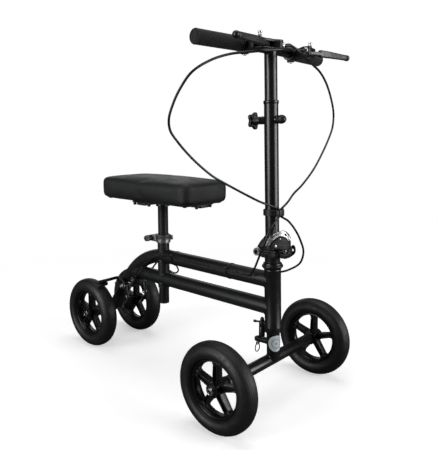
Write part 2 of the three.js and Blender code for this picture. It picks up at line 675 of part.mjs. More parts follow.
function buildSteeringLock() {
  const { x, bottom, top } = LOCK;
  const barrel = join(rod(at(x, 0, bottom), at(x, 0, top), 7.5, 14), block(x + 3, 281, -4, 4, top - 8, top));
  const handleSlot = block(x - 20, x, -3, 3, top - 15, top + 5);
  const headTubeSpace = rod(onColumn(0, 0, 150), onColumn(0, 0, 350), HEAD_TUBE.radius + GAP, 20);
  const bore = rod(at(x, 0, bottom - 5), at(x, 0, top + 5), 5.3, 12);
  add(scooter, "steering_lock_barrel", cut(barrel, headTubeSpace, handleSlot, bore), blackPaint);

  const plunger = join(
    rod(at(x, 0, 150.6), at(x, 0, top + 4), 5, 12),
    ball(at(x, 0, top + 4), 5, 12),
    rod(at(x, 0, top - 3), at(x - 24.4, 0, top - 6), 2.4, 10),
  );
  add(scooter, "steering_lock_pin", plunger, blackPaint);

  const eye = onColumn(-46.6, 0, 133.4);
  const ring = new THREE.TorusGeometry(9.2, 1.3, 6, 12).rotateY(Math.PI / 2).scale(1, 1, 1.2);
  add(scooter, "steering_lock_ring", ring.translate(eye.x, 0, eye.z - 11.04), blackPaint);
}

// ---------------------------------------------------------------------------------- the rear brakes

function buildBrakes() {
  const { x, z, barX, barZ, tailX, tailZ, reach, gap } = BRAKE;
  const mount = join(
    rod(at(x, -52, z), at(x, 52, z), 4, 12),
    block(x - 11, x + 13, -14, 14, z - 8, z + 20),
    block(-180, -168, -36, 36, 206, 212),
    block(-196, -168, -7, 7, 186, 212),
  );
  const tubeSpace = bentTube(upperTubeLine(), MAIN_TUBE.radius + GAP);
  const { lowerZ, radius } = MAIN_TUBE;
  const lowerSpace = rod(at(0, 0, lowerZ), at(-204, 0, lowerZ), radius + GAP, 20);
  add(scooter, "brake_mount", cut(mount, tubeSpace, lowerSpace), brightSteel);

  const towardAxle = at(-AXLE.x - barX, 0, AXLE.z - barZ).normalize();
  for (const [name, side] of Object.entries(SIDES)) {
    const y = (distance) => side * distance;
    const link = [[x - 4, z - 7], [x + 5, z + 6], [barX + 1, barZ + 5], [barX - 4, barZ - 4]];
    const tail = [[x - 7, z - 2], [tailX - 6, tailZ - 3], [tailX + 4, tailZ - 4], [x + 8, z]];
    const arm = join(
      rod(at(x, y(24), z), at(x, y(40), z), 8, 14),
      plate(link, Math.min(y(28), y(36)), Math.max(y(28), y(36))),
      plate(tail, Math.min(y(29), y(35)), Math.max(y(29), y(35))),
      rod(at(barX, y(28), barZ), at(barX, y(reach), barZ), 4.5, 12),
    );
    const shaftSpace = rod(at(x, y(20), z), at(x, y(56), z), 4.3, 12);
    add(scooter, `brake_arm_${name}`, cut(arm, shaftSpace), blackPaint);

    const tyreTop = WHEEL.radius + gap;
    const thickness = at(barX, 0, barZ).distanceTo(at(-AXLE.x, 0, AXLE.z)) - 4.5 - GAP - tyreTop;
    const shoe = new THREE.BoxGeometry(16, 30, thickness);
    const turn = new THREE.Quaternion().setFromUnitVectors(at(0, 0, -1), towardAxle);
    const centre = at(-AXLE.x, y(85), AXLE.z).addScaledVector(towardAxle, -(tyreTop + thickness / 2));
    shoe.applyQuaternion(turn).translate(centre.x, centre.y, centre.z);
    add(scooter, `brake_shoe_${name}`, shoe, tyreRubber);
  }
}

// ------------------------------------------------------------------------------------- brake cables

// Each brake lever's cable swings out in front of the bar to the other side and comes back to the band on the
// column. The two cross inside the band, pass the folding joint and run along the upper tube to the brakes.
const LEFT_LEVER_LOOP = [
  [341.4, 37, 807],
  [341, 30, 806.5],
  [339, 12, 804],
  [338, -14, 801],
  [344, -32, 799.4],
  [352, -46, 797],
  [355, -72, 794],
  [346, -109, 789],
  [328, -136, 785],
  [308, -172, 779],
  [292, -210, 765],
  [277, -244, 742],
  [260, -258, 712],
  [244, -261, 685],
  [232, -261, 657],
  [226, -252, 635],
  [227, -235, 615],
  [228, -206, 589],
  [232, -175, 564],
  [242, -146, 541],
  [255, -119, 524],
  [278, -83, 501],
  [298, -56, 484],
  [309, -32, 474],
  [313, -14, 467.5],
  [313.5, -7, 465.2],
];
const RIGHT_LEVER_LOOP = [
  [341.4, -37, 807],
  [345, -27, 808.5],
  [351, -14, 803],
  [353, 2, 796],
  [350, 25, 790],
  [342, 71, 778.5],
  [330, 122, 768],
  [314, 180, 747],
  [303, 222, 718],
  [294, 253, 688],
  [290, 263.1, 668],
  [292, 254, 640],
  [296, 176, 553],
  [302, 105, 509],
  [308, 60, 492],
  [312, 32, 476.5],
  [313.5, 14, 468.5],
  [313.5, 7, 465.2],
];
const RIGHT_MIDDLE = [
  [313.5, -6, 444.7],
  [312.5, -12, 439.5],
  [310, -23, 430],
  [306, -34, 410],
  [299, -40, 385],
  [283, -37, 352],
  [268, -31, 326],
  [258, -29, 311],
  [252, -24.6, 304],
];
const LEFT_MIDDLE = [
  [313.5, 6, 444.7],
  [314, 14, 441],
  [315, 30, 433],
  [317, 55, 411],
  [318, 78, 383],
  [318, 95, 349],
  [312, 91, 322],
  [298, 69, 308],
  [285, 51, 303],
  [262, 27, 303],
];
const RIGHT_REAR = [
  [248, -23.5, 302.5],
  [235, -21.8, 302],
  [100, -21.8, 302],
  [-40, -21.8, 302],
  [-80, -24, 293],
  [-115, -27, 274],
  [-148, -30, 246],
  [-166.6, -32, 220],
];
const LEFT_REAR = [
  [258, 25, 303],
  [240, 21.8, 302],
  [100, 21.8, 302],
  [-40, 21.8, 302],
  [-80, 24, 293],
  [-115, 27, 274],
  [-148, 30, 246],
  [-166.6, 32, 220],
];

function buildCables() {
  add(scooter, "cable_upper_left_lever", cable(LEFT_LEVER_LOOP, 32), blackPlastic);
  add(scooter, "cable_upper_right_lever", cable(RIGHT_LEVER_LOOP, 28), blackPlastic);
  add(scooter, "cable_mid_right", cable(RIGHT_MIDDLE, 9), blackPlastic);
  add(scooter, "cable_mid_left", cable(LEFT_MIDDLE, 10), blackPlastic);
  add(scooter, "cable_rear_right", cable(RIGHT_REAR, 14), blackPlastic);
  add(scooter, "cable_rear_left", cable(LEFT_REAR, 14), blackPlastic);
}

// ----------------------------------------------------------------------------------------- the wheels

const WHEEL_FACETS = 20;

/** Half a section of [radius, y], mirrored and turned about y: flats at the true radii, one underneath. */
function wheelRing(half) {
  const stretch = 1 / Math.cos(Math.PI / WHEEL_FACETS);
  const section = [...half.map(([r, y]) => [r, -y]), ...[...half].reverse()];
  const points = [...section, section[0]].map(([r, y]) => new THREE.Vector2(r * stretch, y));
  return new THREE.LatheGeometry(points, WHEEL_FACETS).rotateY(Math.PI / WHEEL_FACETS);
}

/** The rim, five spokes and hub as one moulding, turning about y, with its short face outwards (+y). */
function rimGeometry() {
  const { rim, window, hub, inner, outer, bore } = WHEEL;
  const half = [[window, 3.5], [rim, 12.5], [rim + 2.2, 12.5], [rim + 2.2, 10], [rim, 9.4]];
  const ring = wheelRing(half);
  const barrel = rod(at(0, -inner, 0), at(0, outer, 0), hub, 15);
  const spokes = [];
  const count = 5;
  for (let i = 0; i < count; i += 1) {
    const outline = [[-7.4, hub - 5], [7.4, hub - 5], [5.6, rim - 1], [-5.6, rim - 1]];
    spokes.push(plate(outline, -9, 9).rotateY((2 * Math.PI * i) / count));
  }
  return cut(join(ring, barrel, ...spokes), rod(at(0, -inner - 5, 0), at(0, outer + 5, 0), bore, 14));
}

/** The tyre as one closed section turned about y. */
function tyreGeometry() {
  const { radius, width, rim } = WHEEL;
  return wheelRing([
    [rim + GAP, 9],
    [rim + 2.6, 9.7],
    [rim + 3.3, 12.8],
    [rim + 6.3, 18.5],
    [rim + 18, width / 2],
    [radius - 6, 17.5],
    [radius, 8],
  ]);
}

function buildWheels() {
  const ends = { front: [AXLE.x, AXLE.frontTrack / 2], rear: [-AXLE.x, AXLE.rearTrack / 2] };
  for (const [end, [x, halfTrack]] of Object.entries(ends)) {
    for (const [name, side] of Object.entries(SIDES)) {
      const wheel = new THREE.Group();
      wheel.position.set(x, side * halfTrack, AXLE.z);
      if (side < 0) wheel.rotation.z = Math.PI;
      scooter.add(wheel);
      add(wheel, `rim_${end}_${name}`, rimGeometry(), rimPlastic);
      add(wheel, `tyre_${end}_${name}`, tyreGeometry(), tyreRubber);
    }
  }
}

buildFrame();
buildHeadset();
buildFork();
buildFoldBase();
buildFoldHead();
buildFoldLever();
buildColumnTubes();
buildHeightLock();
buildHandlebar();
buildSeat();
buildSeatClamp();
buildSteeringLock();
buildBrakes();
buildCables();
buildWheels();

export default scooter;
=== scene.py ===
"""The looks of a knee scooter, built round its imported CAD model.

Helpers and part functions work in millimetres, and make() turns each piece into metres.
"""

import math

import bmesh
import bpy
from mathutils import Matrix, Vector


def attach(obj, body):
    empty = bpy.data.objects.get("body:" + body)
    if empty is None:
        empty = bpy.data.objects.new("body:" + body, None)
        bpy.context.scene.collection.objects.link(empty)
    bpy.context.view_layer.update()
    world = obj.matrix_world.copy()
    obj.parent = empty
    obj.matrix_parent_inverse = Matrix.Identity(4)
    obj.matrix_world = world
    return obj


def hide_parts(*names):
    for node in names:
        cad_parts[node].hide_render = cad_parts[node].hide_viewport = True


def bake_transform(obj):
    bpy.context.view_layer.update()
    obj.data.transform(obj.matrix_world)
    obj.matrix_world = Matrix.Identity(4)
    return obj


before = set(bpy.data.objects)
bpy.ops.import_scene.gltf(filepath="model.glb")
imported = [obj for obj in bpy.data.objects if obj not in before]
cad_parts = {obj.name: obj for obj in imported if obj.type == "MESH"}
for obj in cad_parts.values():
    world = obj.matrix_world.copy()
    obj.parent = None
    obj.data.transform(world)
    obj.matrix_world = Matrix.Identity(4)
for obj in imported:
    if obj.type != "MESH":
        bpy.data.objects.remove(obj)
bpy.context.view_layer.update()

MM = 0.001
SHARP_ANGLE = math.radians(34)
SIDES = {"right": -1, "left": 1}
LEAN = math.radians(2.1)
COLUMN = Matrix.Translation((307.7, 0, 0)) @ Matrix.Rotation(-LEAN, 4, "Y")
AXLE_X, AXLE_Z = 297, 101.5
HALF_TRACK = {"front": 192.5, "rear": 85}
KNOB_Z = 660
FOLD_PIVOT = (-30, 363)
FOLD_HUB = (28.5, 382)
CATCH_X, CATCH_Z = 42, 370.5

# ------------------------------------------------------------------ camera, lights and floor

CAMERA = {"location": (0.9806, -0.9671, 0.6345), "target": (0.2969, -0.1889, 0.450), "lens": 42.128,
          "roll": math.radians(0.2)}
LIGHT_TARGET = (0.05, 0, 0.4)
# Name, place, width and height in metres, and power in watts.
SOFTBOXES = (
    ("soft_left", (-0.75, -3.3, 0.9), 1.9, 3.0, 95),
    ("soft_right", (3.1, 1.25, 0.8), 2.3, 2.8, 95),
    ("soft_top", (0.1, 0.1, 3.2), 2.4, 2.4, 34),
    ("soft_back", (-2.4, 1.8, 1.6), 1.6, 2.0, 7),
)
FILL_STRENGTH = 0.1
FLOOR_HALF = 12
FLOOR_GLOW = 0.44
FLOOR_FADE = (0.7, 1.6)  # metres from the origin at which the floor starts to turn white, and is white

scene = bpy.context.scene


def aim(obj, target):
    obj.rotation_euler = (Vector(target) - obj.location).to_track_quat("-Z", "Y").to_euler()


def softbox(name, place, target, width, height, power):
    data = bpy.data.lights.new(name, "AREA")
    data.shape = "RECTANGLE"
    data.size, data.size_y = width, height
    data.energy = power
    lamp = bpy.data.objects.new(name, data)
    lamp.location = place
    lamp.visible_camera = False
    scene.collection.objects.link(lamp)
    aim(lamp, target)


def set_stage():
    camera_data = bpy.data.cameras.new("camera")
    camera_data.lens = CAMERA["lens"]
    camera_data.sensor_width = 36
    camera = bpy.data.objects.new("camera", camera_data)
    camera.location = CAMERA["location"]
    scene.collection.objects.link(camera)
    aim(camera, CAMERA["target"])
    camera.rotation_euler.rotate_axis("Z", CAMERA["roll"])
    scene.camera = camera

    for name, place, width, height, power in SOFTBOXES:
        softbox(name, place, LIGHT_TARGET, width, height, power)

    scene.view_settings.view_transform = "Standard"
    set_world()
    set_floor()


def set_world():
    """White behind the object, and a dim even fill on it."""
    world = bpy.data.worlds.new("studio")
    world.use_nodes = True
    tree = world.node_tree
    tree.nodes.clear()
    link = tree.links.new
    path = node(tree, "LightPath")
    fill = node(tree, "Background", Strength=FILL_STRENGTH)
    seen = node(tree, "Background", Color=(1, 1, 1, 1), Strength=1.0)
    mix = node(tree, "MixShader")
    output = node(tree, "OutputWorld")
    link(path.outputs["Is Camera Ray"], mix.inputs[0])
    link(fill.outputs[0], mix.inputs[1])
    link(seen.outputs[0], mix.inputs[2])
    link(mix.outputs[0], output.inputs["Surface"])
    scene.world = world


def set_floor():
    """A pale floor that fades into white, and is dull for all but the camera so that blacks stay deep."""
    bm = bmesh.new()
    bmesh.ops.create_grid(bm, x_segments=4, y_segments=4, size=FLOOR_HALF)
    mesh = bpy.data.meshes.new("floor")
    bm.to_mesh(mesh)
    bm.free()
    floor = bpy.data.objects.new("floor", mesh)
    scene.collection.objects.link(floor)
    paint = bpy.data.materials.new("floor_paper")
    paint.use_nodes = True
    tree = paint.node_tree
    link = tree.links.new
    shader = tree.nodes["Principled BSDF"]
    shader.inputs["Base Color"].default_value = (0.96, 0.96, 0.96, 1)
    shader.inputs["Roughness"].default_value = 0.9
    shader.inputs["Emission Color"].default_value = (1, 1, 1, 1)
    shader.inputs["Emission Strength"].default_value = FLOOR_GLOW
    place = node(tree, "TexCoord")
    reach = node(tree, "VectorMath", operation="LENGTH")
    fade = node(tree, "MapRange")
    fade.inputs["From Min"].default_value, fade.inputs["From Max"].default_value = FLOOR_FADE
    white = node(tree, "Emission")
    blend = node(tree, "MixShader")
    link(place.outputs["Object"], reach.inputs[0])
    link(reach.outputs["Value"], fade.inputs["Value"])
    link(fade.outputs[0], blend.inputs[0])
    link(shader.outputs[0], blend.inputs[1])
    link(white.outputs[0], blend.inputs[2])
    dull = node(tree, "BsdfDiffuse", Color=(0.12, 0.12, 0.12, 1))
    path = node(tree, "LightPath")
    choose = node(tree, "MixShader")
    link(path.outputs["Is Camera Ray"], choose.inputs[0])
    link(dull.outputs[0], choose.inputs[1])
    link(blend.outputs[0], choose.inputs[2])
    link(choose.outputs[0], tree.nodes["Material Output"].inputs["Surface"])
    mesh.materials.append(paint)


# ------------------------------------------------------------------------------ materials


def node(tree, kind, **settings):
    made = tree.nodes.new("ShaderNode" + kind)
    for key, value in settings.items():
        if key in made.inputs:
            made.inputs[key].default_value = value
        else:
            setattr(made, key, value)
    return made


def material(
    name,
    dark,
    light,
    roughness,
    metallic=0.0,
    coat=0.0,
    mottle=60,
    rough_spread=0.06,
    grain=0.0,
    grain_scale=900,
    grain_kind="noise",
    stretch=(1, 1, 1),
    sheen=0.0,
    specular=0.5,
    speckle=0.0,
):
    """A procedural finish: two tones mixed by a soft noise, a roughness that varies, and a fine relief."""
    made = bpy.data.materials.new(name)
    made.use_nodes = True
    tree = made.node_tree
    link = tree.links.new
    shader = tree.nodes["Principled BSDF"]
    shader.inputs["Metallic"].default_value = metallic
    shader.inputs["Coat Weight"].default_value = coat
    shader.inputs["Coat Roughness"].default_value = 0.12
    shader.inputs["Sheen Weight"].default_value = sheen
    shader.inputs["Sheen Roughness"].default_value = 0.45
    shader.inputs["Specular IOR Level"].default_value = specular
    place = node(tree, "TexCoord")
    mapping = node(tree, "Mapping")
    mapping.inputs["Scale"].default_value = stretch
    link(place.outputs["Object"], mapping.inputs["Vector"])

    cloud = node(tree, "TexNoise", Scale=mottle, Detail=5.0, Roughness=0.6)
    link(mapping.outputs[0], cloud.inputs["Vector"])
    tones = node(tree, "ValToRGB")
    tones.color_ramp.elements[0].position = 0.3
    tones.color_ramp.elements[0].color = (*dark, 1)
    tones.color_ramp.elements[1].position = 0.72
    tones.color_ramp.elements[1].color = (*light, 1)
    link(cloud.outputs["Fac"], tones.inputs["Fac"])
    colour = tones.outputs["Color"]
    if speckle:
        dots = node(tree, "TexNoise", Scale=grain_scale * 0.6, Detail=2.0)
        link(mapping.outputs[0], dots.inputs["Vector"])
        spread = node(tree, "MapRange")
        spread.inputs["From Min"].default_value = 0.35
        spread.inputs["From Max"].default_value = 0.7
        spread.inputs["To Min"].default_value = 1 - speckle
        spread.inputs["To Max"].default_value = 1 + speckle
        link(dots.outputs["Fac"], spread.inputs["Value"])
        scaled = node(tree, "VectorMath", operation="SCALE")
        link(colour, scaled.inputs[0])
        link(spread.outputs[0], scaled.inputs["Scale"])
        colour = scaled.outputs[0]
    link(colour, shader.inputs["Base Color"])

    patch = node(tree, "TexNoise", Scale=mottle * 2.7, Detail=4.0)
    link(mapping.outputs[0], patch.inputs["Vector"])
    rough = node(tree, "MapRange")
    rough.inputs["From Min"].default_value = 0.3
    rough.inputs["From Max"].default_value = 0.7
    rough.inputs["To Min"].default_value = max(0.03, roughness - rough_spread)
    rough.inputs["To Max"].default_value = min(1, roughness + rough_spread)
    link(patch.outputs["Fac"], rough.inputs["Value"])
    link(rough.outputs[0], shader.inputs["Roughness"])

    if grain:
        if grain_kind == "leather":
            cells = node(tree, "TexVoronoi", feature="DISTANCE_TO_EDGE", Scale=grain_scale)
            warp = node(tree, "TexNoise", Scale=grain_scale * 0.35, Detail=3.0)
            link(mapping.outputs[0], warp.inputs["Vector"])
            bend = node(tree, "MixRGB", blend_type="LINEAR_LIGHT", Fac=0.0025)
            link(mapping.outputs[0], bend.inputs["Color1"])
            link(warp.outputs["Color"], bend.inputs["Color2"])
            link(bend.outputs[0], cells.inputs["Vector"])
            crease = node(tree, "MapRange")
            crease.inputs["From Max"].default_value = 0.18
            link(cells.outputs["Distance"], crease.inputs["Value"])
            height = crease.outputs[0]
        else:
            fine = node(tree, "TexNoise", Scale=grain_scale, Detail=3.0, Roughness=0.55)
            link(mapping.outputs[0], fine.inputs["Vector"])
            height = fine.outputs["Fac"]
        bump = node(tree, "Bump", Strength=1.0, Distance=grain * MM)
        link(height, bump.inputs["Height"])
        link(bump.outputs[0], shader.inputs["Normal"])
    return made


def tyre_material():
    """Rubber with fine turning lines round the wheel's own axle, which is the object's y axis."""
    made = material("tyre", (0.0036, 0.0038, 0.0042), (0.0082, 0.0086, 0.0094), 0.46, mottle=45,
                    rough_spread=0.1, grain=0.0, speckle=0.12, grain_scale=1500)
    tree = made.node_tree
    link = tree.links.new
    shader = tree.nodes["Principled BSDF"]
    place = node(tree, "TexCoord")
    parts = node(tree, "SeparateXYZ")
    link(place.outputs["Object"], parts.inputs[0])
    flat = node(tree, "CombineXYZ")
    link(parts.outputs["X"], flat.inputs["X"])
    link(parts.outputs["Z"], flat.inputs["Z"])
    reach = node(tree, "VectorMath", operation="LENGTH")
    link(flat.outputs[0], reach.inputs[0])
    total = node(tree, "Math", operation="ADD")
    link(reach.outputs["Value"], total.inputs[0])
    side = node(tree, "Math", operation="ABSOLUTE")
    link(parts.outputs["Y"], side.inputs[0])
    link(side.outputs[0], total.inputs[1])
    lines = node(tree, "Math", operation="MULTIPLY")
    lines.inputs[1].default_value = 2 * math.pi / 0.0016
    link(total.outputs[0], lines.inputs[0])
    wave = node(tree, "Math", operation="SINE")
    link(lines.outputs[0], wave.inputs[0])
    fine = node(tree, "TexNoise", Scale=1400, Detail=3.0)
    link(place.outputs["Object"], fine.inputs["Vector"])
    both = node(tree, "Math", operation="MULTIPLY_ADD")
    both.inputs[1].default_value = 0.22
    link(wave.outputs[0], both.inputs[0])
    link(fine.outputs["Fac"], both.inputs[2])
    bump = node(tree, "Bump", Strength=0.8, Distance=0.16 * MM)
    link(both.outputs[0], bump.inputs["Height"])
    link(bump.outputs[0], shader.inputs["Normal"])
    return made


def make_materials():
    return {
        "charcoal": material("charcoal_powder_coat", (0.0062, 0.0069, 0.0082), (0.0105, 0.0113, 0.0128),
                             0.38, metallic=0.15, coat=0.25, mottle=35, grain=0.03, grain_scale=650),
        "black": material("black_gloss_paint", (0.0025, 0.0028, 0.0034), (0.0045, 0.005, 0.0058), 0.3,
                          coat=0.3, mottle=25, rough_spread=0.04, grain=0.002, grain_scale=260),
        "post": material("black_sliding_post", (0.0025, 0.0028, 0.0034), (0.0045, 0.005, 0.0058), 0.5,
                         mottle=25, rough_spread=0.05, grain=0.004, grain_scale=300, specular=0.25),
        "satin": material("black_satin_paint", (0.0035, 0.0038, 0.0043), (0.0065, 0.0069, 0.0076), 0.33,
                          mottle=40, grain=0.02, grain_scale=800),
        "steel": material("zinc_plated_steel", (0.50, 0.51, 0.52), (0.66, 0.67, 0.68), 0.24, metallic=1.0,
                          mottle=120, rough_spread=0.09, grain=0.01, grain_scale=1500),
        "alloy": material("grey_alloy", (0.20, 0.205, 0.215), (0.31, 0.315, 0.325), 0.34, metallic=0.9,
                          mottle=90, rough_spread=0.08, grain=0.014, grain_scale=1200),
        "lever": material("dark_anodised_lever", (0.055, 0.057, 0.06), (0.085, 0.088, 0.093), 0.36,
                          metallic=0.75, mottle=70, rough_spread=0.06, grain=0.012, grain_scale=900),
        "chrome": material("polished_lever", (0.58, 0.59, 0.60), (0.7, 0.71, 0.72), 0.27, metallic=1.0,
                           mottle=90, rough_spread=0.05, grain=0.002, grain_scale=400),
        "dark_steel": material("blackened_steel", (0.03, 0.031, 0.033), (0.06, 0.061, 0.064), 0.34,
                               metallic=0.8, mottle=90, grain=0.015, grain_scale=1000),
        "plastic": material("black_moulded_plastic", (0.0042, 0.0046, 0.005), (0.008, 0.0084, 0.0092), 0.42,
                            mottle=55, grain=0.035, grain_scale=1100),
        "rim": material("black_nylon_rim", (0.0022, 0.0024, 0.0027), (0.0045, 0.0048, 0.0053), 0.28,
                        mottle=45, rough_spread=0.08, grain=0.02, grain_scale=700),
        "grip": material("grip_foam", (0.007, 0.0074, 0.0082), (0.0155, 0.0163, 0.0176), 0.82,
                         mottle=90, grain=0.32, grain_scale=850, speckle=0.2, sheen=0.15),
        "rubber": material("shoe_rubber", (0.010, 0.0105, 0.011), (0.020, 0.0205, 0.021), 0.7,
                           mottle=120, grain=0.1, grain_scale=900),
        "vinyl": material("seat_vinyl", (0.0045, 0.0052, 0.0064), (0.0085, 0.0092, 0.0105), 0.46, mottle=14,
                          rough_spread=0.08, grain=0.11, grain_scale=720, grain_kind="leather", sheen=0.03,
                          specular=0.4),
        "wood": material("seat_board_plywood", (0.13, 0.085, 0.045), (0.24, 0.165, 0.095), 0.7, mottle=18,
                         grain=0.12, grain_scale=260, stretch=(0.12, 1, 1)),
        "cloth": material("underlining", (0.012, 0.012, 0.013), (0.022, 0.022, 0.023), 0.9, mottle=70,
                          grain=0.15, grain_scale=900),
        "cable": material("cable_jacket", (0.006, 0.006, 0.0065), (0.011, 0.011, 0.012), 0.3, mottle=60,
                          grain=0.015, grain_scale=900),
        "badge": material("pale_badge", (0.62, 0.69, 0.72), (0.78, 0.83, 0.85), 0.3, mottle=150, coat=0.4,
                          grain=0.01, grain_scale=700),
        "badge_dark": material("badge_ink", (0.22, 0.28, 0.31), (0.33, 0.39, 0.42), 0.4, mottle=160,
                               grain=0.01, grain_scale=700),
        # Near black standing for the shade inside holes, sockets and recesses: painted shade.
        "hole_and_shade": material("painted_hole_shade", (0.001, 0.001, 0.001), (0.003, 0.003, 0.003), 0.8, mottle=80),
        "tyre": tyre_material(),
    }


# --------------------------------------------------------------------------- mesh helpers


def basis(direction):
    d = Vector(direction).normalized()
    helper = Vector((0, 0, 1)) if abs(d.z) < 0.9 else Vector((1, 0, 0))
    u = helper.cross(d).normalized()
    return u, d.cross(u), d


def bridge(bm, rings, seg, mat, loop=False):
    pairs = list(zip(rings, rings[1:]))
    if loop:
        pairs.append((rings[-1], rings[0]))
    for lo, hi in pairs:
        for i in range(seg):
            j = (i + 1) % seg
            corners = [lo[i % len(lo)], lo[j % len(lo)], hi[j % len(hi)], hi[i % len(hi)]]
            corners = list(dict.fromkeys(corners))
            if len(corners) > 2:
                bm.faces.new(corners).material_index = mat


def lathe(bm, profile, a, b, seg=48, mat=0, loop=False, wobble=None):
    """Turns a profile of (radius, distance along the axis) about the axis from a towards b."""
    a = Vector(a)
    u, v, d = basis(Vector(b) - a)
    rings = []
    for r, t in profile:
        if r < 1e-6:
            rings.append([bm.verts.new(a + d * t)])
            continue
        ring = []
        for i in range(seg):
            w = 2 * math.pi * i / seg
            reach = r * (wobble(w) if wobble else 1)
            ring.append(bm.verts.new(a + d * t + (u * math.cos(w) + v * math.sin(w)) * reach))
        rings.append(ring)
    bridge(bm, rings, seg, mat, loop)


def turned(bm, profile, a, b, seg, mat=0, wobble=None):
    """A solid of revolution whose profile is closed flat to the axis at both ends."""
    closed = [(0, profile[0][1]), *profile, (0, profile[-1][1])]
    lathe(bm, closed, a, b, seg, mat, wobble=wobble)


def disc(bm, radius, thick, a, b, seg, mat=0):
    """A plain round disc that starts at a and thickens towards b."""
    turned(bm, [(radius, 0), (radius, thick)], a, b, seg, mat)


def rod(bm, a, b, radius, edge=0.6, seg=32, mat=0):
    """A round bar with softened ends."""
    length = (Vector(b) - Vector(a)).length
    edge = min(edge, radius * 0.9, length * 0.45)
    profile = [(0, 0), (radius - edge, 0)]
    profile += [(radius - edge * (1 - math.sin(w)), edge * (1 - math.cos(w))) for w in (0.5, 1.0)]
    profile += [(radius, edge), (radius, length - edge)]
    profile += [(radius - edge * (1 - math.sin(w)), length - edge * (1 - math.cos(w))) for w in (1.0, 0.5)]
    profile += [(radius - edge, length), (0, length)]
    lathe(bm, profile, a, b, seg, mat)


def smooth_route(points, step=4.0):
    """A centripetal curve through given points, as one list of points about a step apart."""
    p = [Vector(q) for q in points]
    p = [p[0] * 2 - p[1], *p, p[-1] * 2 - p[-2]]
    out = []
    for p0, p1, p2, p3 in zip(p, p[1:], p[2:], p[3:]):
        d = [max(math.sqrt((b - a).length), 1e-4) for a, b in ((p0, p1), (p1, p2), (p2, p3))]
        m1 = ((p1 - p0) / d[0] - (p2 - p0) / (d[0] + d[1]) + (p2 - p1) / d[1]) * d[1]
        m2 = ((p2 - p1) / d[1] - (p3 - p1) / (d[1] + d[2]) + (p3 - p2) / d[2]) * d[1]
        count = max(1, round((p2 - p1).length / step))
        for k in range(count):
            t = k / count
            out.append(
                p1 * (2 * t**3 - 3 * t**2 + 1)
                + m1 * (t**3 - 2 * t**2 + t)
                + p2 * (3 * t**2 - 2 * t**3)
                + m2 * (t**3 - t**2)
            )
    out.append(p[-2])
    return out


def tube(bm, points, radius, seg=20, mat=0, loop=False, taper=None):
    """A round tube on a list of points; taper gives the radius's factor at a share of its length."""
    p = [Vector(q) for q in points]
    n = len(p)
    rings = []
    u = None
    for i in range(n):
        before = p[i - 1] if loop or i else p[0]
        after = p[(i + 1) % n] if loop or i < n - 1 else p[-1]
        d = (after - before).normalized()
        if u is None:
            u, v, d = basis(d)
        u = (u - d * u.dot(d)).normalized()
        v = d.cross(u)
        r = radius * (taper(i / (n - 1)) if taper else 1)
        ring = []
        for k in range(seg):
            w = 2 * math.pi * k / seg
            ring.append(bm.verts.new(p[i] + (u * math.cos(w) + v * math.sin(w)) * r))
        rings.append(ring)
    bridge(bm, rings, seg, mat, loop)
    if not loop:
        for ring in (rings[0], rings[-1]):
            bm.faces.new(ring).material_index = mat


def helix(bm, a, b, radius, wire, turns, mat=0):
    a, b = Vector(a), Vector(b)
    u, v, _ = basis(b - a)
    steps = int(turns * 14)
    points = []
    for i in range(steps + 1):
        w = 2 * math.pi * turns * i / steps
        points.append(a + (b - a) * (i / steps) + (u * math.cos(w) + v * math.sin(w)) * radius)
    tube(bm, points, wire, 8, mat)


AXES = {
    "z": Matrix.Identity(4),
    "y": Matrix(((1, 0, 0, 0), (0, 0, -1, 0), (0, 1, 0, 0), (0, 0, 0, 1))),
    "x": Matrix(((0, 0, 1, 0), (1, 0, 0, 0), (0, 1, 0, 0), (0, 0, 0, 1))),
}


def plate(bm, loops, low, high, axis="y", edge=0.8, mat=0, turn=None):
    """A plate with rounded edges. loops are outlines, outer first and then holes, of (x, z) for axis y,
    (x, y) for axis z or (y, z) for axis x; it fills low to high along the axis."""
    data = bpy.data.curves.new("plate", "CURVE")
    data.dimensions = "2D"
    data.fill_mode = "BOTH"
    data.extrude = max(0.01, (high - low) / 2 - edge)
    data.bevel_depth = edge
    data.bevel_resolution = 2
    data.offset = -edge
    for loop in loops:
        spline = data.splines.new("POLY")
        spline.points.add(len(loop) - 1)
        for point, (a, b) in zip(spline.points, loop):
            point.co = (a, b, 0, 1)
        spline.use_cyclic_u = True
    holder = bpy.data.objects.new("plate", data)
    mesh = bpy.data.meshes.new_from_object(holder)
    shift = Matrix.Translation({"x": ((low + high) / 2, 0, 0), "y": (0, (low + high) / 2, 0),
                                "z": (0, 0, (low + high) / 2)}[axis])
    mesh.transform(shift @ AXES[axis])
    if turn is not None:
        mesh.transform(turn)
    part = bmesh.new()
    part.from_mesh(mesh)
    bmesh.ops.remove_doubles(part, verts=part.verts, dist=0.002)
    for face in part.faces:
        face.material_index = mat
    merge(bm, part)
    bpy.data.objects.remove(holder)
    bpy.data.curves.remove(data)
    bpy.data.meshes.remove(mesh)


def merge(bm, part):
    mesh = bpy.data.meshes.new("part")
    part.to_mesh(mesh)
    part.free()
    bm.from_mesh(mesh)
    bpy.data.meshes.remove(mesh)


def circle(radius, centre=(0, 0), seg=40):
    return [
        (centre[0] + radius * math.cos(2 * math.pi * i / seg),
         centre[1] + radius * math.sin(2 * math.pi * i / seg))
        for i in range(seg)
    ]


def soften(outline, radius, steps=4):
    """The outline with each corner rounded."""
    out = []
    n = len(outline)
    for i in range(n):
        before, here, after = (Vector(outline[k % n]) for k in (i - 1, i, i + 1))
        size = min(radius, (before - here).length * 0.45, (after - here).length * 0.45)
        start = here + (before - here).normalized() * size
        end = here + (after - here).normalized() * size
        for k in range(steps + 1):
            t = k / steps
            q = start * (1 - t) ** 2 + here * 2 * t * (1 - t) + end * t**2
            out.append((q.x, q.y))
    return out


def span(side, inner, outer):
    """The lower and the higher of two distances from the middle, on one side."""
    return sorted((side * inner, side * outer))


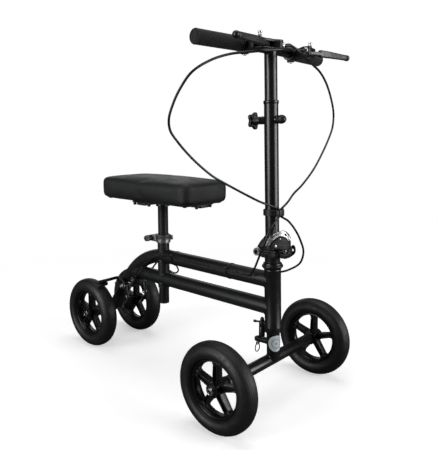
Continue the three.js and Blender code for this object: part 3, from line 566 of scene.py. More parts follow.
def cheeks(bm, outline, inner, outer, edge, mat=0):
    """The same plate on both sides, from inner to outer along y."""
    for side in (-1, 1):
        plate(bm, [outline], *span(side, inner, outer), "y", edge=edge, mat=mat)


def rectangle(x0, x1, y0, y1, radius=2.0, steps=4):
    return soften([(x0, y0), (x1, y0), (x1, y1), (x0, y1)], radius, steps)


def box(bm, low, high, edge=1.0, mat=0, turn=None, segments=3):
    part = bmesh.new()
    size = Vector(high) - Vector(low)
    middle = (Vector(high) + Vector(low)) / 2
    matrix = Matrix.Translation(middle) @ Matrix.Diagonal((*size, 1))
    bmesh.ops.create_cube(part, size=1, matrix=(turn @ matrix) if turn is not None else matrix)
    bmesh.ops.bevel(part, geom=part.edges[:], offset=edge, segments=segments, profile=0.5, affect="EDGES")
    for face in part.faces:
        face.material_index = mat
    merge(bm, part)


def hex_nut(bm, a, b, across, mat=0, stud=0.0):
    """A hexagon nut from a towards b, with the end of its stud."""
    a, b = Vector(a), Vector(b)
    u, v, d = basis(b - a)
    turn = Matrix((
        (u.x, v.x, d.x, a.x),
        (u.y, v.y, d.y, a.y),
        (u.z, v.z, d.z, a.z),
        (0, 0, 0, 1),
    ))
    height = (b - a).length
    plate(bm, [circle(across, seg=6)], 0, height, "z", edge=min(0.7, height * 0.3), mat=mat, turn=turn)
    if stud:
        turned(bm, [(across * 0.5, 0), (across * 0.5, stud - 0.5), (across * 0.38, stud)], b, b + d, 20,
               mat)


def cap_screw(bm, a, b, radius, mat=0, hole_and_shade=1):
    """A round screw head from a to b with a hexagon socket in its end; the socket takes a material of its
    own, which most callers set to the near-black painted shade.
    """
    height = (Vector(b) - Vector(a)).length
    edge = min(0.5, height * 0.3)
    lathe(bm, [(0, 0), (radius, 0), (radius, height - edge), (radius - edge, height),
               (radius * 0.56, height)], a, b, 28, mat)
    lathe(bm, [(radius * 0.56, height), (radius * 0.5, height - 0.2), (radius * 0.5, height * 0.45),
               (0, height * 0.4)], a, b, 6, hole_and_shade)


def weld(bm, ring, direction, line, radius, bead=1.7, mat=0):
    """A weld bead where a ring's points, moved along a direction, meet a tube of that radius on a line."""
    direction = Vector(direction).normalized()
    segments = [(Vector(a), Vector(b)) for a, b in zip(line, line[1:])]

    def gap(p):
        best = 1e9
        for a, b in segments:
            t = max(0.0, min(1.0, (p - a).dot(b - a) / (b - a).length_squared))
            best = min(best, (p - (a + (b - a) * t)).length)
        return best - radius

    points = []
    for start in ring:
        p = Vector(start)
        low, high = 0.0, None
        travel = 0.0
        while travel < 140:
            if gap(p + direction * travel) <= 0.25:
                high = travel
                break
            low = travel
            travel += 3
        if high is None:
            continue
        for _ in range(12):
            middle = (low + high) / 2
            if gap(p + direction * middle) <= 0.25:
                high = middle
            else:
                low = middle
        points.append(p + direction * high)
    if len(points) < 8:
        return
    n = len(points)
    closed = (points[0] - points[-1]).length < 6
    tube(bm, points, bead, 10, mat, loop=closed,
         taper=lambda s: 1 + 0.13 * math.sin(s * n * math.pi * 0.5))


def ring_points(centre, axis, radius, count=72, low=0.0, high=2 * math.pi):
    u, v, _ = basis(axis)
    centre = Vector(centre)
    return [
        centre + (u * math.cos(w) + v * math.sin(w)) * radius
        for w in (low + (high - low) * i / count for i in range(count))
    ]


def make(name, bm, finishes, body, replaces=(), slot=None, space=None):
    """Turns the mesh into metres and into one piece on a body."""
    bmesh.ops.recalc_face_normals(bm, faces=bm.faces)
    bm.transform(Matrix.Scale(MM, 4) @ (space or Matrix.Identity(4)))
    mesh = bpy.data.meshes.new(name)
    bm.to_mesh(mesh)
    bm.free()
    mesh.polygons.foreach_set("use_smooth", [True] * len(mesh.polygons))
    mesh.set_sharp_from_angle(angle=SHARP_ANGLE)
    for finish in finishes:
        mesh.materials.append(M[finish])
    return place(name, mesh, body, replaces, slot)


def place(name, mesh, body, replaces=(), slot=None, origin=None, turn=None):
    obj = bpy.data.objects.new(name, mesh)
    scene.collection.objects.link(obj)
    matrix = turn or Matrix.Identity(4)
    if origin is not None:
        matrix = Matrix.Translation(Vector(origin) * MM) @ matrix
    obj.matrix_world = matrix
    if body:
        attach(obj, body)
    if replaces:
        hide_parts(*replaces)
    return obj


# --------------------------------------------------------------------------------- wheels


def tyre_profile():
    half = [(62, 8.2), (62.05, 9.2), (64.3, 9.9), (65, 12.4), (66.3, 15.4), (69, 18.9), (73, 21.6),
            (78, 22.9), (82, 22.9), (86.5, 21.9), (91, 19.7), (95, 16.8), (98.3, 12.9), (100.4, 8.4),
            (101.3, 4), (101.5, 0)]
    line = smooth_route([(r, y, 0) for r, y in half], 0.85)
    shaped = []
    for q in line:
        r, y = q.x, q.y
        for at, width, depth in ((4.2, 0.7, 0.5), (8.6, 0.7, 0.5), (12.6, 0.7, 0.45)):
            if r > 95:
                r -= depth * max(0.0, 1 - (abs(y - at) / width) ** 2)
        for at, width, depth in ((69.5, 0.8, -0.55), (73.0, 0.6, 0.3), (90.0, 0.6, 0.3)):
            if y > 15:
                y -= depth * max(0.0, 1 - (abs(r - at) / width) ** 2)
        shaped.append((r, min(y, 23)))
    return [(r, -y) for r, y in shaped] + [(r, y) for r, y in reversed(shaped[:-1])]


def wheel_meshes():
    bm = bmesh.new()
    lathe(bm, tyre_profile(), (0, 0, 0), (0, 1, 0), 96, 0, loop=True)
    tyre = make("tyre_mesh", bm, ["tyre"], None)

    bm = bmesh.new()
    half = [(57.4, 0), (57.7, 3.2), (59.2, 8.2), (61.2, 11.8), (62.6, 12.7), (63.9, 12.4), (63.9, 10.2),
            (61.7, 9.4), (60.9, 5)]
    section = half + [(r, -y) for r, y in reversed(half[1:])]
    lathe(bm, section, (0, 0, 0), (0, 1, 0), 96, 0, loop=True)
    hub = [(7.5, -26.9), (11, -26.9), (12, -26), (12.4, -24), (15.6, -23.4), (16.6, -22), (16.9, -14),
           (17, 0), (16.9, 13), (16.4, 17.6), (15.2, 18.9), (13.2, 18.9), (12.6, 17.2), (12.4, 16.2),
           (7.5, 16.2)]
    lathe(bm, hub, (0, 0, 0), (0, 1, 0), 48, 0)
    lathe(bm, [(6.4, 15.2), (12.3, 15.2), (12.3, 17.1), (10.9, 17.5), (8.4, 17.5), (7.9, 17.9),
               (6.4, 17.9)], (0, 0, 0), (0, 1, 0), 36, 1)
    lathe(bm, [(8.5, 17.3), (10.7, 17.3), (10.7, 17.65), (8.5, 17.65)], (0, 0, 0), (0, 1, 0), 36, 2,
          loop=True)
    for k in range(5):
        turn = Matrix.Rotation(2 * math.pi * k / 5, 4, "Y")
        web = [(-7.2, 13), (7.2, 13), (5.6, 59.5), (-5.6, 59.5)]
        plate(bm, [web], -3.2, 3.2, "y", edge=0.7, turn=turn)
        for side in (-1, 1):
            rib = [(side * 4.2, 14), (side * 7.6, 14), (side * 5.9, 60.4), (side * 3.4, 60.4)]
            plate(bm, [rib if side > 0 else rib[::-1]], -8.6, 8.6, "y", edge=0.9, turn=turn)
        foot = [(-6.2, 51), (6.2, 51), (7.6, 55.5), (10.6, 60), (-10.6, 60), (-7.6, 55.5)]
        plate(bm, [foot], -8.4, 8.4, "y", edge=1.2, turn=turn)
    rim = make("rim_mesh", bm, ["rim", "dark_steel", "rubber"], None)
    return tyre, rim


def build_wheels():
    tyre, rim = wheel_meshes()
    for end, direction in (("front", 1), ("rear", -1)):
        for name, side in SIDES.items():
            origin = (direction * AXLE_X, side * HALF_TRACK[end], AXLE_Z)
            turn = Matrix.Rotation(math.pi if side < 0 else 0, 4, "Z")
            body = f"wheel_{end}_{name}"
            place(f"tyre_{end}_{name}_rubber", tyre.data, body, [f"tyre_{end}_{name}"], "tyre_rubber",
                  origin, turn)
            place(f"rim_{end}_{name}_moulding", rim.data, body, [f"rim_{end}_{name}"], "rim_plastic",
                  origin, turn)
    bpy.data.objects.remove(tyre)
    bpy.data.objects.remove(rim)


def build_axles():
    for end, direction, body in (("front", 1, "fork"), ("rear", -1, "frame")):
        bm = bmesh.new()
        x = direction * AXLE_X
        end_y = HALF_TRACK[end] + 19.3
        rod(bm, (x, -end_y - 1, AXLE_Z), (x, end_y + 1, AXLE_Z), 6, 0.5, 28)
        for side in (-1, 1):
            turned(bm, [(10.6, 0), (10.8, 0.4), (10.6, 1.1)], (x, side * (end_y - 1.2), AXLE_Z),
                   (x, side * end_y, AXLE_Z), 32, 1)
            a, b = (x, side * end_y, AXLE_Z), (x, side * (end_y + 4.6), AXLE_Z)
            hex_nut(bm, a, b, 9.4, 0)
            top = (x, side * (end_y + 4.4), AXLE_Z)
            over = (x, side * (end_y + 9), AXLE_Z)
            lathe(bm, [(0, 0), (7.9, 0), (7.9, 1.2), (7.2, 2.1), (5.6, 2.5), (4.9, 2.2)], top, over, 28)
            lathe(bm, [(4.9, 2.2), (4.7, 1.4), (3.9, 1.2), (0, 1.2)], top, over, 24, 1)
        make(f"axle_{end}", bm, ["steel", "dark_steel"], body, [f"{end}_axle_shaft"], "bright_steel")


# ---------------------------------------------------------------------------------- frame

MAIN_RADIUS = 19.05
UPPER_Z, LOWER_Z = 295, 230
ARC_X, ARC_Z, ARC_RADIUS, ARC_SWEEP = -55, 94, 201, math.radians(54.5)
POST_X = -73


def upper_line(steps=40):
    line = [Vector((290, 0, UPPER_Z)), Vector((110, 0, UPPER_Z))]
    for i in range(steps + 1):
        w = ARC_SWEEP * i / steps
        line.append(Vector((ARC_X - ARC_RADIUS * math.sin(w), 0, ARC_Z + ARC_RADIUS * math.cos(w))))
    end = Vector((-AXLE_X, 0, AXLE_Z))
    way = (end - line[-1]).normalized()
    line += [line[-1] + way * 30, end - way * 10.5]
    return line


HOLE_FACING = Vector((30, -28, 0)).normalized()
HEAD_LINE = [COLUMN @ Vector((0, 0, 170)), COLUMN @ Vector((0, 0, 340))]


def build_upper_tube():
    line = upper_line()
    bm = bmesh.new()
    tube(bm, line, MAIN_RADIUS, 48)
    weld(bm, ring_points((240, 0, UPPER_Z), (1, 0, 0), MAIN_RADIUS), (1, 0, 0), HEAD_LINE, 19.4)
    beam_line = [Vector((-AXLE_X, -60, AXLE_Z)), Vector((-AXLE_X, 60, AXLE_Z))]
    way = (line[-1] - line[-2]).normalized()
    weld(bm, ring_points(line[-2], way, 15.5), way, beam_line, 14, 2.2)
    make("upper_main_tube_coated", bm, ["charcoal"], "frame", ["upper_main_tube"], "charcoal_paint")


def build_lower_tube():
    bm = bmesh.new()
    tube(bm, [(292, 0, LOWER_Z), (100, 0, LOWER_Z), (-100, 0, LOWER_Z), (-203, 0, LOWER_Z)], MAIN_RADIUS,
         48)
    weld(bm, ring_points((240, 0, LOWER_Z), (1, 0, 0), MAIN_RADIUS), (1, 0, 0), HEAD_LINE, 19.4)
    weld(bm, ring_points((-120, 0, LOWER_Z), (1, 0, 0), MAIN_RADIUS, 90), (-1, 0, 0), upper_line(),
         MAIN_RADIUS)
    make("lower_main_tube_coated", bm, ["charcoal"], "frame", ["lower_main_tube"], "charcoal_paint")


def build_seat_socket():
    line = upper_line()
    bm = bmesh.new()
    lathe(bm, [(14.4, 0), (15.6, 0), (16.25, 0.8), (16.25, 150.2), (15.6, 151), (14.4, 151), (14.3, 140),
               (14.3, 10)], (POST_X, 0, 205), (POST_X, 0, 356), 48, 0, loop=True)
    lower = [Vector((-140, 0, LOWER_Z)), Vector((0, 0, LOWER_Z))]
    weld(bm, ring_points((POST_X, 0, 345), (0, 0, 1), 16.25), (0, 0, -1), line, MAIN_RADIUS)
    weld(bm, ring_points((POST_X, 0, 262), (0, 0, 1), 16.25), (0, 0, 1), line, MAIN_RADIUS)
    weld(bm, ring_points((POST_X, 0, 262), (0, 0, 1), 16.25), (0, 0, -1), lower, MAIN_RADIUS)
    weld(bm, ring_points((POST_X, 0, 200), (0, 0, 1), 16.25), (0, 0, 1), lower, MAIN_RADIUS)
    # The sight hole is drawn as a near-black disc on the tube: painted shade where the hole is, with a
    # raised rim round it.
    sight = Vector((POST_X, 0, 322)) + HOLE_FACING * 15.9
    disc(bm, 3.4, 0.5, sight, sight + HOLE_FACING, 24, 1)
    tube(bm, ring_points(sight + HOLE_FACING * 0.35, HOLE_FACING, 3.7, 28), 0.45, 8, 0, loop=True)
    make("seat_socket_coated", bm, ["charcoal", "hole_and_shade"], "frame", ["seat_socket"], "charcoal_paint")


def build_rear_beam():
    bm = bmesh.new()
    axle_beam(bm, -AXLE_X, 57.5)
    make("rear_axle_beam_coated", bm, ["charcoal", "plastic"], "frame", ["rear_axle_beam"],
         "charcoal_paint")


def axle_beam(bm, x, half):
    rod(bm, (x, -half, AXLE_Z), (x, half, AXLE_Z), 14, 1.0, 48)
    for side in (-1, 1):
        start = side * (half - 3.2)
        turned(bm, [(14.5, 0), (15.1, 0.6), (15.1, 2.4), (14.4, 3.4), (8, 3.6)], (x, start, AXLE_Z),
               (x, start + side, AXLE_Z), 40, 1)


def build_head_tube():
    bm = bmesh.new()
    lathe(bm, [(15, 0), (18.9, 0), (19.6, 0.6), (19.7, 4), (19.4, 4.8), (19.4, 137.5), (19.7, 138.2),
               (19.7, 141.4), (19.1, 142.3), (15, 142.3)], (0, 0, 181), (0, 0, 323), 56, 0, loop=True)
    make("head_tube_coated", bm, ["satin"], "frame", ["head_tube"], "charcoal_paint", COLUMN)


def build_lower_cup():
    bm = bmesh.new()
    lathe(bm, [(14.5, 0), (17.5, 0), (19.4, 1.2), (20.3, 2.6), (20.3, 4.0), (19.5, 4.5), (19.5, 5.1),
               (20.5, 5.7), (20.5, 9.1), (20, 9.7), (14.5, 9.7)], (0, 0, 171), (0, 0, 181), 56, 0,
          loop=True)
    make("headset_lower_cup", bm, ["satin"], "frame", ["headset_lower"], "black_plastic", COLUMN)


def build_upper_cup():
    bm = bmesh.new()
    lathe(bm, [(14.6, 0), (20.3, 0), (20.9, 0.6), (21.2, 1.6), (23.6, 3.6), (24.4, 5), (24.5, 7.4),
               (23.9, 8.8), (22.4, 9.8), (21.8, 10.3), (21.8, 11.2), (21.2, 13.4), (20.4, 14), (14.6, 14)],
          (0, 0, 323.8), (0, 0, 340), 56, 0, loop=True)
    make("headset_upper_cup", bm, ["satin"], "frame", ["headset_upper"], "black_plastic", COLUMN)


# ------------------------------------------------------------------ fork, badge and front beam


def build_front_stem():
    bm = bmesh.new()
    turned(bm, [(15.6, 0), (15.6, 63), (15.9, 63.6), (15.9, 66.2), (14.3, 66.7), (14.3, 246)], (0, 0, 104),
           (0, 0, 350), 56)
    tab = soften([(-52, -6), (-44, -9), (-10, -9), (-10, 9), (-44, 9), (-52, 6)], 3)
    hole_and_shade = circle(6, (-40.6, 0), 28)
    plate(bm, [tab, hole_and_shade], 140, 149.4, "z", edge=1.1)
    eye = soften([(-44, 141), (-51, 133), (-50, 128.4), (-44, 128.4), (-37, 141)], 2)
    plate(bm, [eye, circle(2.9, (-46.6, 133.4), 20)], -1.5, 1.5, "y", edge=0.5)
    weld(bm, ring_points((-22, 0, 144.7), (1, 0, 0), 6.5, 40), (1, 0, 0),
         [Vector((0, 0, 100)), Vector((0, 0, 180))], 15.6, 1.4)
    make("front_stem_painted", bm, ["black"], "fork", ["front_stem"], "black_paint", COLUMN)


def build_front_beam():
    bm = bmesh.new()
    axle_beam(bm, AXLE_X, 165)
    line = [Vector((AXLE_X, -60, AXLE_Z)), Vector((AXLE_X, 60, AXLE_Z))]
    weld(bm, ring_points(COLUMN @ Vector((0, 0, 150)), (0.0366, 0, -1), 14.2, 90), (0.0366, 0, -1), line,
         14, 2.3)
    make("front_axle_beam_painted", bm, ["black", "plastic"], "fork", ["front_axle_beam"], "black_paint")


def build_badge():
    """A plain round badge wrapped on the stem: a pale disc with raised rings and no lettering."""
    facing = math.radians(-28)
    centre_z = 147
    bm = bmesh.new()

    def on_stem(u, v, lift):
        w = facing + u / 15.8
        r = 15.75 + lift
        return Vector((r * math.cos(w), r * math.sin(w), centre_z + v))

    def patch(radius_in, radius_out, lift, mat, seg=64, rings=5):
        rows = []
        for i in range(rings + 1):
            r = radius_in + (radius_out - radius_in) * i / rings
            drop = 0.5 if i in (0, rings) and radius_in > 0 or i == rings else 0
            rows.append([bm.verts.new(on_stem(r * math.cos(2 * math.pi * k / seg),
                                              r * math.sin(2 * math.pi * k / seg),
                                              lift - drop)) for k in range(seg)])
        bridge(bm, rows, seg, mat)
        if radius_in < 0.2:
            bm.faces.new(rows[0]).material_index = mat

    patch(0.1, 19.5, 0.6, 0, rings=8)
    patch(17.2, 18.8, 0.95, 0)
    patch(14.6, 15.4, 0.8, 1)
    patch(9.0, 12.2, 0.8, 1)
    patch(6.4, 7.0, 0.8, 1)
    patch(0.1, 3.4, 0.85, 1)
    make("stem_badge", bm, ["badge", "badge_dark"], "fork", (), None, COLUMN)


# ------------------------------------------------------------------------------ fold joint


# Outlines of the fold lever about its hub, in x and z: the arm's two edges, the web behind it and its cap.
FOLD_ARM_OUTER = [(-31, -3), (-27.5, 6), (-20.5, 16.5), (-8, 27.5), (5.5, 34.3), (14, 36.6), (21.5, 36),
                  (28.5, 32), (33.5, 26), (36.2, 18)]
FOLD_ARM_INNER = [(-18, -1.5), (-14.5, 5), (-10, 10), (-3.5, 15), (4, 19.8), (9.5, 23), (15, 24.2),
                  (21.5, 23), (28, 19.8), (32.5, 16.3)]
FOLD_WEB = [(-19, -6), (-17, 3), (-10, 11.5), (3, 21.5), (11.5, 26), (21, 24.5), (29, 20.5), (35, 16),
            (35, -6)]
FOLD_CAP = [(-16.8, -6), (-16.8, -1.5), (-13, 5), (-9.2, 9), (-2.9, 14), (4.4, 18.7), (12.1, 22.9),
            (21.3, 21.9), (27.4, 18.8), (32.6, 14.6), (33.5, 4), (33, -6)]


def between(p, q, r, s, t):
    """The number at t between q and r, on a uniform curve through p, q, r and s."""
    curve = 2 * q + (r - p) * t + (2 * p - 5 * q + 4 * r - s) * t * t + (3 * q - p - 3 * r + s) * t ** 3
    return 0.5 * curve


def ladder(points, per=4):
    """A uniform curve through the points, with the same number of steps between each two."""
    line = []
    ends = [points[0], *points, points[-1]]
    for four in zip(ends, ends[1:], ends[2:], ends[3:]):
        for k in range(per):
            line.append(tuple(between(*numbers, k / per) for numbers in zip(*four)))
    return [*line, points[-1]]


def crossing(outline, level):
    """The lowest and highest x at which the outline crosses a level."""
    found = []
    for (x0, z0), (x1, z1) in zip(outline, [*outline[1:], outline[0]]):
        if (z0 - level) * (z1 - level) < 0:
            found.append(x0 + (x1 - x0) * (level - z0) / (z1 - z0))
    return min(found), max(found)


def build_fold_base():
    px, pz = FOLD_PIVOT
    bm = bmesh.new()
    lathe(bm, [(14.6, 0), (17.2, 0), (17.8, 0.6), (17.8, 9), (18.6, 13), (18.6, 20), (14.6, 20)],
          (0, 0, 338.3), (0, 0, 352), 48, 0, loop=True)
    plate(bm, [rectangle(-24, 24, -17, 17, 9, 6), circle(14.6, (0, 0), 40)], 350, 369, "z", edge=2.0)
    plate(bm, [rectangle(-26, 26, -18.4, 18.4, 12, 8), circle(14.6, (0, 0), 40)], 362.6, 369, "z", edge=2.4)
    lug = [(px - 7, pz - 7.5), (px + 3, pz - 10.2), (-16, 351), (-14, 368.4), (-22, 369), (px + 2, pz + 10),
           (px - 6, pz + 8), (px - 10, pz)]
    cheeks(bm, soften(lug, 4), 9.3, 17.2, 1.4)
    hook = [(20, 352), (41, 352), (50, 358), (56, 363.5), (58.4, 368), (58.8, 373), (58, 378.5),
            (55.5, 382.4), (51.5, 383.5), (48, 381.3), (47.5, 377.3), (50.5, 374.8), (54, 373.5),
            (54.5, 370.5), (52, 369), (47, 369), (42, 365), (38, 362), (20, 362)]
    cheeks(bm, soften(hook, 1.6), 5.1, 8, 0.9)
    plate(bm, [soften([(20, 352), (41, 352), (50, 358.5), (47, 361), (38, 360.6), (20, 360.6)], 2)], -5.3,
          5.3, "y", edge=0.5)
    turned(bm, [(6.6, 0), (7, 0.4), (7, 2.9)], (CATCH_X, -8, CATCH_Z), (CATCH_X, -5, CATCH_Z), 32)
    make("fold_base_casting", bm, ["satin"], "fork", ["fold_base"], "black_paint", COLUMN)


def build_fold_catch():
    bm = bmesh.new()
    hex_nut(bm, (CATCH_X, -8, CATCH_Z), (CATCH_X, -12.4, CATCH_Z), 6.2, 0, stud=1.6)
    # The small near-black disc on the stud's end is painted shade for a hole.
    disc(bm, 2.2, 0.3, (CATCH_X, -13.9, CATCH_Z), (CATCH_X, -14.3, CATCH_Z), 20, 1)
    make("fold_catch_nut", bm, ["steel", "hole_and_shade"], "fork", (), "bright_steel", COLUMN)


def build_fold_pivot():
    px, pz = FOLD_PIVOT
    bm = bmesh.new()
    rod(bm, (px, -18, pz), (px, 18, pz), 4, 0.3, 24)
    # The screw head's hexagon socket is painted near black, as shade.
    cap_screw(bm, (px, -17.6, pz), (px, -22.6, pz), 9, 0, 1)
    disc(bm, 9.6, 1, (px, -17.1, pz), (px, -18, pz), 32)
    hex_nut(bm, (px, 17.4, pz), (px, 21.6, pz), 7, 0, stud=2)
    make("fold_pivot_screw", bm, ["steel", "hole_and_shade"], "fork", ["fold_pivot_bolt"], "bright_steel", COLUMN)


def build_fold_head():
    px, pz = FOLD_PIVOT
    hx, hz = FOLD_HUB
    bm = bmesh.new()
    lathe(bm, [(16, 0), (19.6, 0), (20.5, 1), (20.5, 24), (20, 27), (18.4, 29.6), (16.9, 30.6), (16, 30.6)],
          (0, 0, 369.4), (0, 0, 400), 56, 0, loop=True)
    plate(bm, [rectangle(-23, 23, -18.6, 18.6, 12, 8), circle(12, (0, 0), 40)], 369.4, 374.6, "z", edge=1.6)
    gusset = [(px - 9, pz + 1), (px - 6, 375), (-25, 390), (-15, 398), (-14, 370), (-21, 370),
              (px + 8, pz - 3), (px, pz - 9.3)]
    cheeks(bm, soften(gusset, 3), 2.2, 8.9, 1.1)
    plate(bm, [soften([(px - 4, pz + 3), (-28, 380), (-15, 390), (-14, 372), (-22, 371)], 2)], -3, 3, "y",
          edge=0.6)
    lug = [(12, hz - 8.5), (hx, hz - 8.5), (hx + 7, hz - 5), (hx + 8.5, hz), (hx + 7, hz + 5),
           (hx, hz + 8.5), (18, hz + 13), (12, hz + 14)]
    cheeks(bm, soften(lug, 3.5), 7.4, 18.2, 1.3)
    make("fold_head_casting", bm, ["satin"], "column", ["fold_head"], "black_paint", COLUMN)


def build_latch_bolt():
    hx, hz = FOLD_HUB
    bm = bmesh.new()
    rod(bm, (hx, -27.4, hz), (hx, 20, hz), 4, 0.5, 24)
    rod(bm, (hx, -6.8, hz), (hx, 6.8, hz), 6.5, 0.8, 28)
    rod(bm, (hx, 0, hz), (50.8, 0, 370.8), 3, 0.5, 20)
    hex_nut(bm, (45.4, 0, 373.5), (50, 0, 371.2), 4.5, 0)
    hex_nut(bm, (hx, 18.6, hz), (hx, 22, hz), 7, 0, stud=1.6)
    make("latch_bolt_plated", bm, ["steel"], "column", ["latch_bolt"], "bright_steel", COLUMN)


def build_fold_lever():
    hx, hz = FOLD_HUB
    bm = bmesh.new()
    outer = [(hx + x, hz + z) for x, z in ladder(FOLD_ARM_OUTER)]
    inner = [(hx + x, hz + z) for x, z in ladder(FOLD_ARM_INNER)]

    def strip(low_share, high_share, low, high, mat=0, edge=0.8, start=0, stop=None):
        pairs = list(zip(outer, inner))[start:stop]
        edge_a = [(a[0] + (b[0] - a[0]) * low_share, a[1] + (b[1] - a[1]) * low_share) for a, b in pairs]
        edge_b = [(a[0] + (b[0] - a[0]) * high_share, a[1] + (b[1] - a[1]) * high_share) for a, b in pairs]
        plate(bm, [edge_a + edge_b[::-1]], low, high, "y", edge=edge, mat=mat)

    strip(0.0, 1.0, -23.4, -19.2)
    strip(0.0, 0.34, -25.5, -22, 0, 1.0)
    strip(0.5, 1.0, -25.5, -22, 0, 1.1)
    strip(0.3, 0.54, -25.4, -22, 0, 0.9, 14)
    web = [(hx + x, hz + z) for x, z in FOLD_WEB]
    plate(bm, [soften(web, 2)], -20.4, -18.9, "y", edge=0.4, mat=1)
    lathe(bm, [(0, 0), (2.9, 0), (3.1, 0.3), (2.6, 1.1), (0, 1.3)], (hx + 25.5, -25.3, hz + 29),
          (hx + 25.5, -27, hz + 29), 24, 1)
    make("fold_lever_handle", bm, ["chrome", "dark_steel"], "fold_lever", ["fold_lever"], "bright_steel",
         COLUMN)


def build_fold_lever_cap():
    hx, hz = FOLD_HUB
    bm = bmesh.new()
    cap = [(hx + x, hz + z) for x, z in FOLD_CAP]
    plate(bm, [soften(cap, 2.2)], -25.2, -20.8, "y", edge=1.3)
    for level in (-3.4, 0.8, 5.0, 9.2, 13.4, 17.6):
        low_x, high_x = crossing(FOLD_CAP, level)
        box(bm, (hx + low_x + 1.8, -26.4, hz + level - 0.9), (hx + high_x - 1.8, -24.6, hz + level + 0.9),
            0.6)
    lathe(bm, [(0, 0), (2.1, 0), (2.2, 0.3), (1.8, 1.2), (0, 1.5)], (hx + 12, -25, hz + 18),
          (hx + 12, -27, hz + 18), 24, 1)
    rod(bm, (hx, -24, hz), (hx, -27, hz), 4.6, 0.6, 28, 2)
    make("fold_lever_hub_cap", bm, ["plastic", "steel", "dark_steel"], "fold_lever", ["fold_lever_hub"],
         "black_plastic", COLUMN)


# ---------------------------------------------------------------------------------- column


def build_outer_tube():
    bm = bmesh.new()
    lathe(bm, [(14.7, 0), (15.5, 0), (15.9, 0.5), (15.9, 309), (16.8, 310.3), (17.2, 311.2), (17.2, 315.4),
               (16.6, 316.6), (14.8, 316.7)], (0, 0, 385.3), (0, 0, 702), 64, 0, loop=True)
    turned(bm, [(8.6, 0), (9, 0.6), (9, 14), (9.8, 17), (9.8, 20)], (-28, 0, KNOB_Z), (-8, 0, KNOB_Z), 36)
    turned(bm, [(7.6, 0), (8, 0.5), (8, 6), (8.8, 8.5), (8.8, 10)], (18, 0, KNOB_Z), (8, 0, KNOB_Z), 36)
    make("column_outer_tube_painted", bm, ["black"], "column", ["column_outer_tube"], "black_paint", COLUMN)


def build_inner_tube():
    bm = bmesh.new()
    bar = COLUMN.inverted() @ Vector((HANDLE_X, 0, HANDLE_Z))
    lathe(bm, [(12.4, 0), (14.3, 0), (14.3, bar.z - 480 - 4), (12.4, bar.z - 480 - 4)], (0, 0, 480),
          (0, 0, 800), 64, 0, loop=True)
    bar_line = [COLUMN.inverted() @ Vector((HANDLE_X, y, HANDLE_Z)) for y in (-60, 60)]
    weld(bm, ring_points((0, 0, 780), (0, 0, 1), 14.1, 90), (0, 0, 1), bar_line, 11.1, 2.0)
    # A row of near-black discs stands for the height holes: painted shade in place of open holes.
    for k in range(6):
        spot = (14.1, 0, 520 + 25 * k)
        disc(bm, 3, 0.35, spot, (15, 0, spot[2]), 20, 1)
    make("column_inner_tube_painted", bm, ["black", "hole_and_shade"], "handlebar", ["column_inner_tube"],
         "black_paint", COLUMN)


def build_cable_band():
    bm = bmesh.new()
    lathe(bm, [(16.1, 0), (19.2, 0), (20, 0.8), (20, 13.2), (19.2, 14), (16.1, 14)], (0, 0, 447.5),
          (0, 0, 461.5), 56, 0, loop=True)
    plate(bm, [rectangle(15, 28.4, -10, 10, 4.5, 5)], 447.2, 461.8, "z", edge=1.4)
    for side in (-1, 1):
        for foot, head in (((22.2, side * 6, 460), (22.6, side * 8.6, 465)),
                           ((22.2, side * 5, 449), (22.2, side * 6.6, 444.4))):
            lathe(bm, [(2.6, 0), (4.2, 0), (3.7, 4.6), (2.6, 4.6)], foot, head, 20, 0, loop=True)
    make("cable_band_moulding", bm, ["plastic"], "column", ["cable_band"], "black_plastic", COLUMN)


def build_height_knob():
    bm = bmesh.new()
    star = []
    lobes, per = 5, 12
    for i in range(lobes * per):
        w = 2 * math.pi * i / (lobes * per)
        r = 17.3 + 2.9 * math.cos(lobes * w)
        star.append((r * math.cos(w), KNOB_Z + r * math.sin(w)))
    plate(bm, [star], -53, -44, "x", edge=2.4)
    turned(bm, [(11, 0), (10.2, 3), (9, 5), (8.4, 15.6)], (-44.4, 0, KNOB_Z), (-28, 0, KNOB_Z), 40)
    lathe(bm, [(0, 0), (8.2, 0), (8.6, 0.8), (7.4, 1.6), (0, 1.9)], (-52.6, 0, KNOB_Z), (-55, 0, KNOB_Z),
          36)
    rod(bm, (-30, 0, KNOB_Z), (-15, 0, KNOB_Z), 4, 0.4, 24, 1)
    make("height_knob_moulding", bm, ["plastic", "steel"], "height_knob", ["height_knob"], "black_plastic",
         COLUMN)


def build_height_pin():
    bm = bmesh.new()
    rod(bm, (15.2, 0, KNOB_Z), (24, 0, KNOB_Z), 3.2, 0.4, 24, 1)
    lathe(bm, [(0, 0), (8, 0), (8.7, 0.8), (8.6, 3), (9.2, 5), (9.6, 7.5), (9.5, 10.5), (8.9, 13.5),
               (7.4, 16.5), (5.2, 18.6), (2.6, 19.6), (0, 19.8)], (18.4, 0, KNOB_Z), (38, 0, KNOB_Z), 56, 0,
          wobble=lambda w: 1 + 0.022 * math.cos(12 * w))
    make("height_pin_pull", bm, ["plastic", "steel"], "height_pin", ["height_pin"], "black_plastic", COLUMN)


# ------------------------------------------------------------------------------- handlebar


HANDLE_X, HANDLE_Z = 278, 810
SWEPT_X = 262.5  # x of the bar's swept-back ends
STRAIGHT_Y, END_Y = 30, 222.5


def on_bar(side, y):
    """A point of the bar's middle line, which is straight near the column and sweeps back to the ends."""
    share = max(0.0, y - STRAIGHT_Y) / (END_Y - STRAIGHT_Y)
    return Vector((HANDLE_X + (SWEPT_X - HANDLE_X) * share, side * y, HANDLE_Z))


LEVER_X, LEVER_Y = 322, 82
PARKING_X, PARKING_Y = 319, 93


def mirrored(outline, side):
    return outline if side > 0 else [(x, -y) for x, y in reversed(outline)]


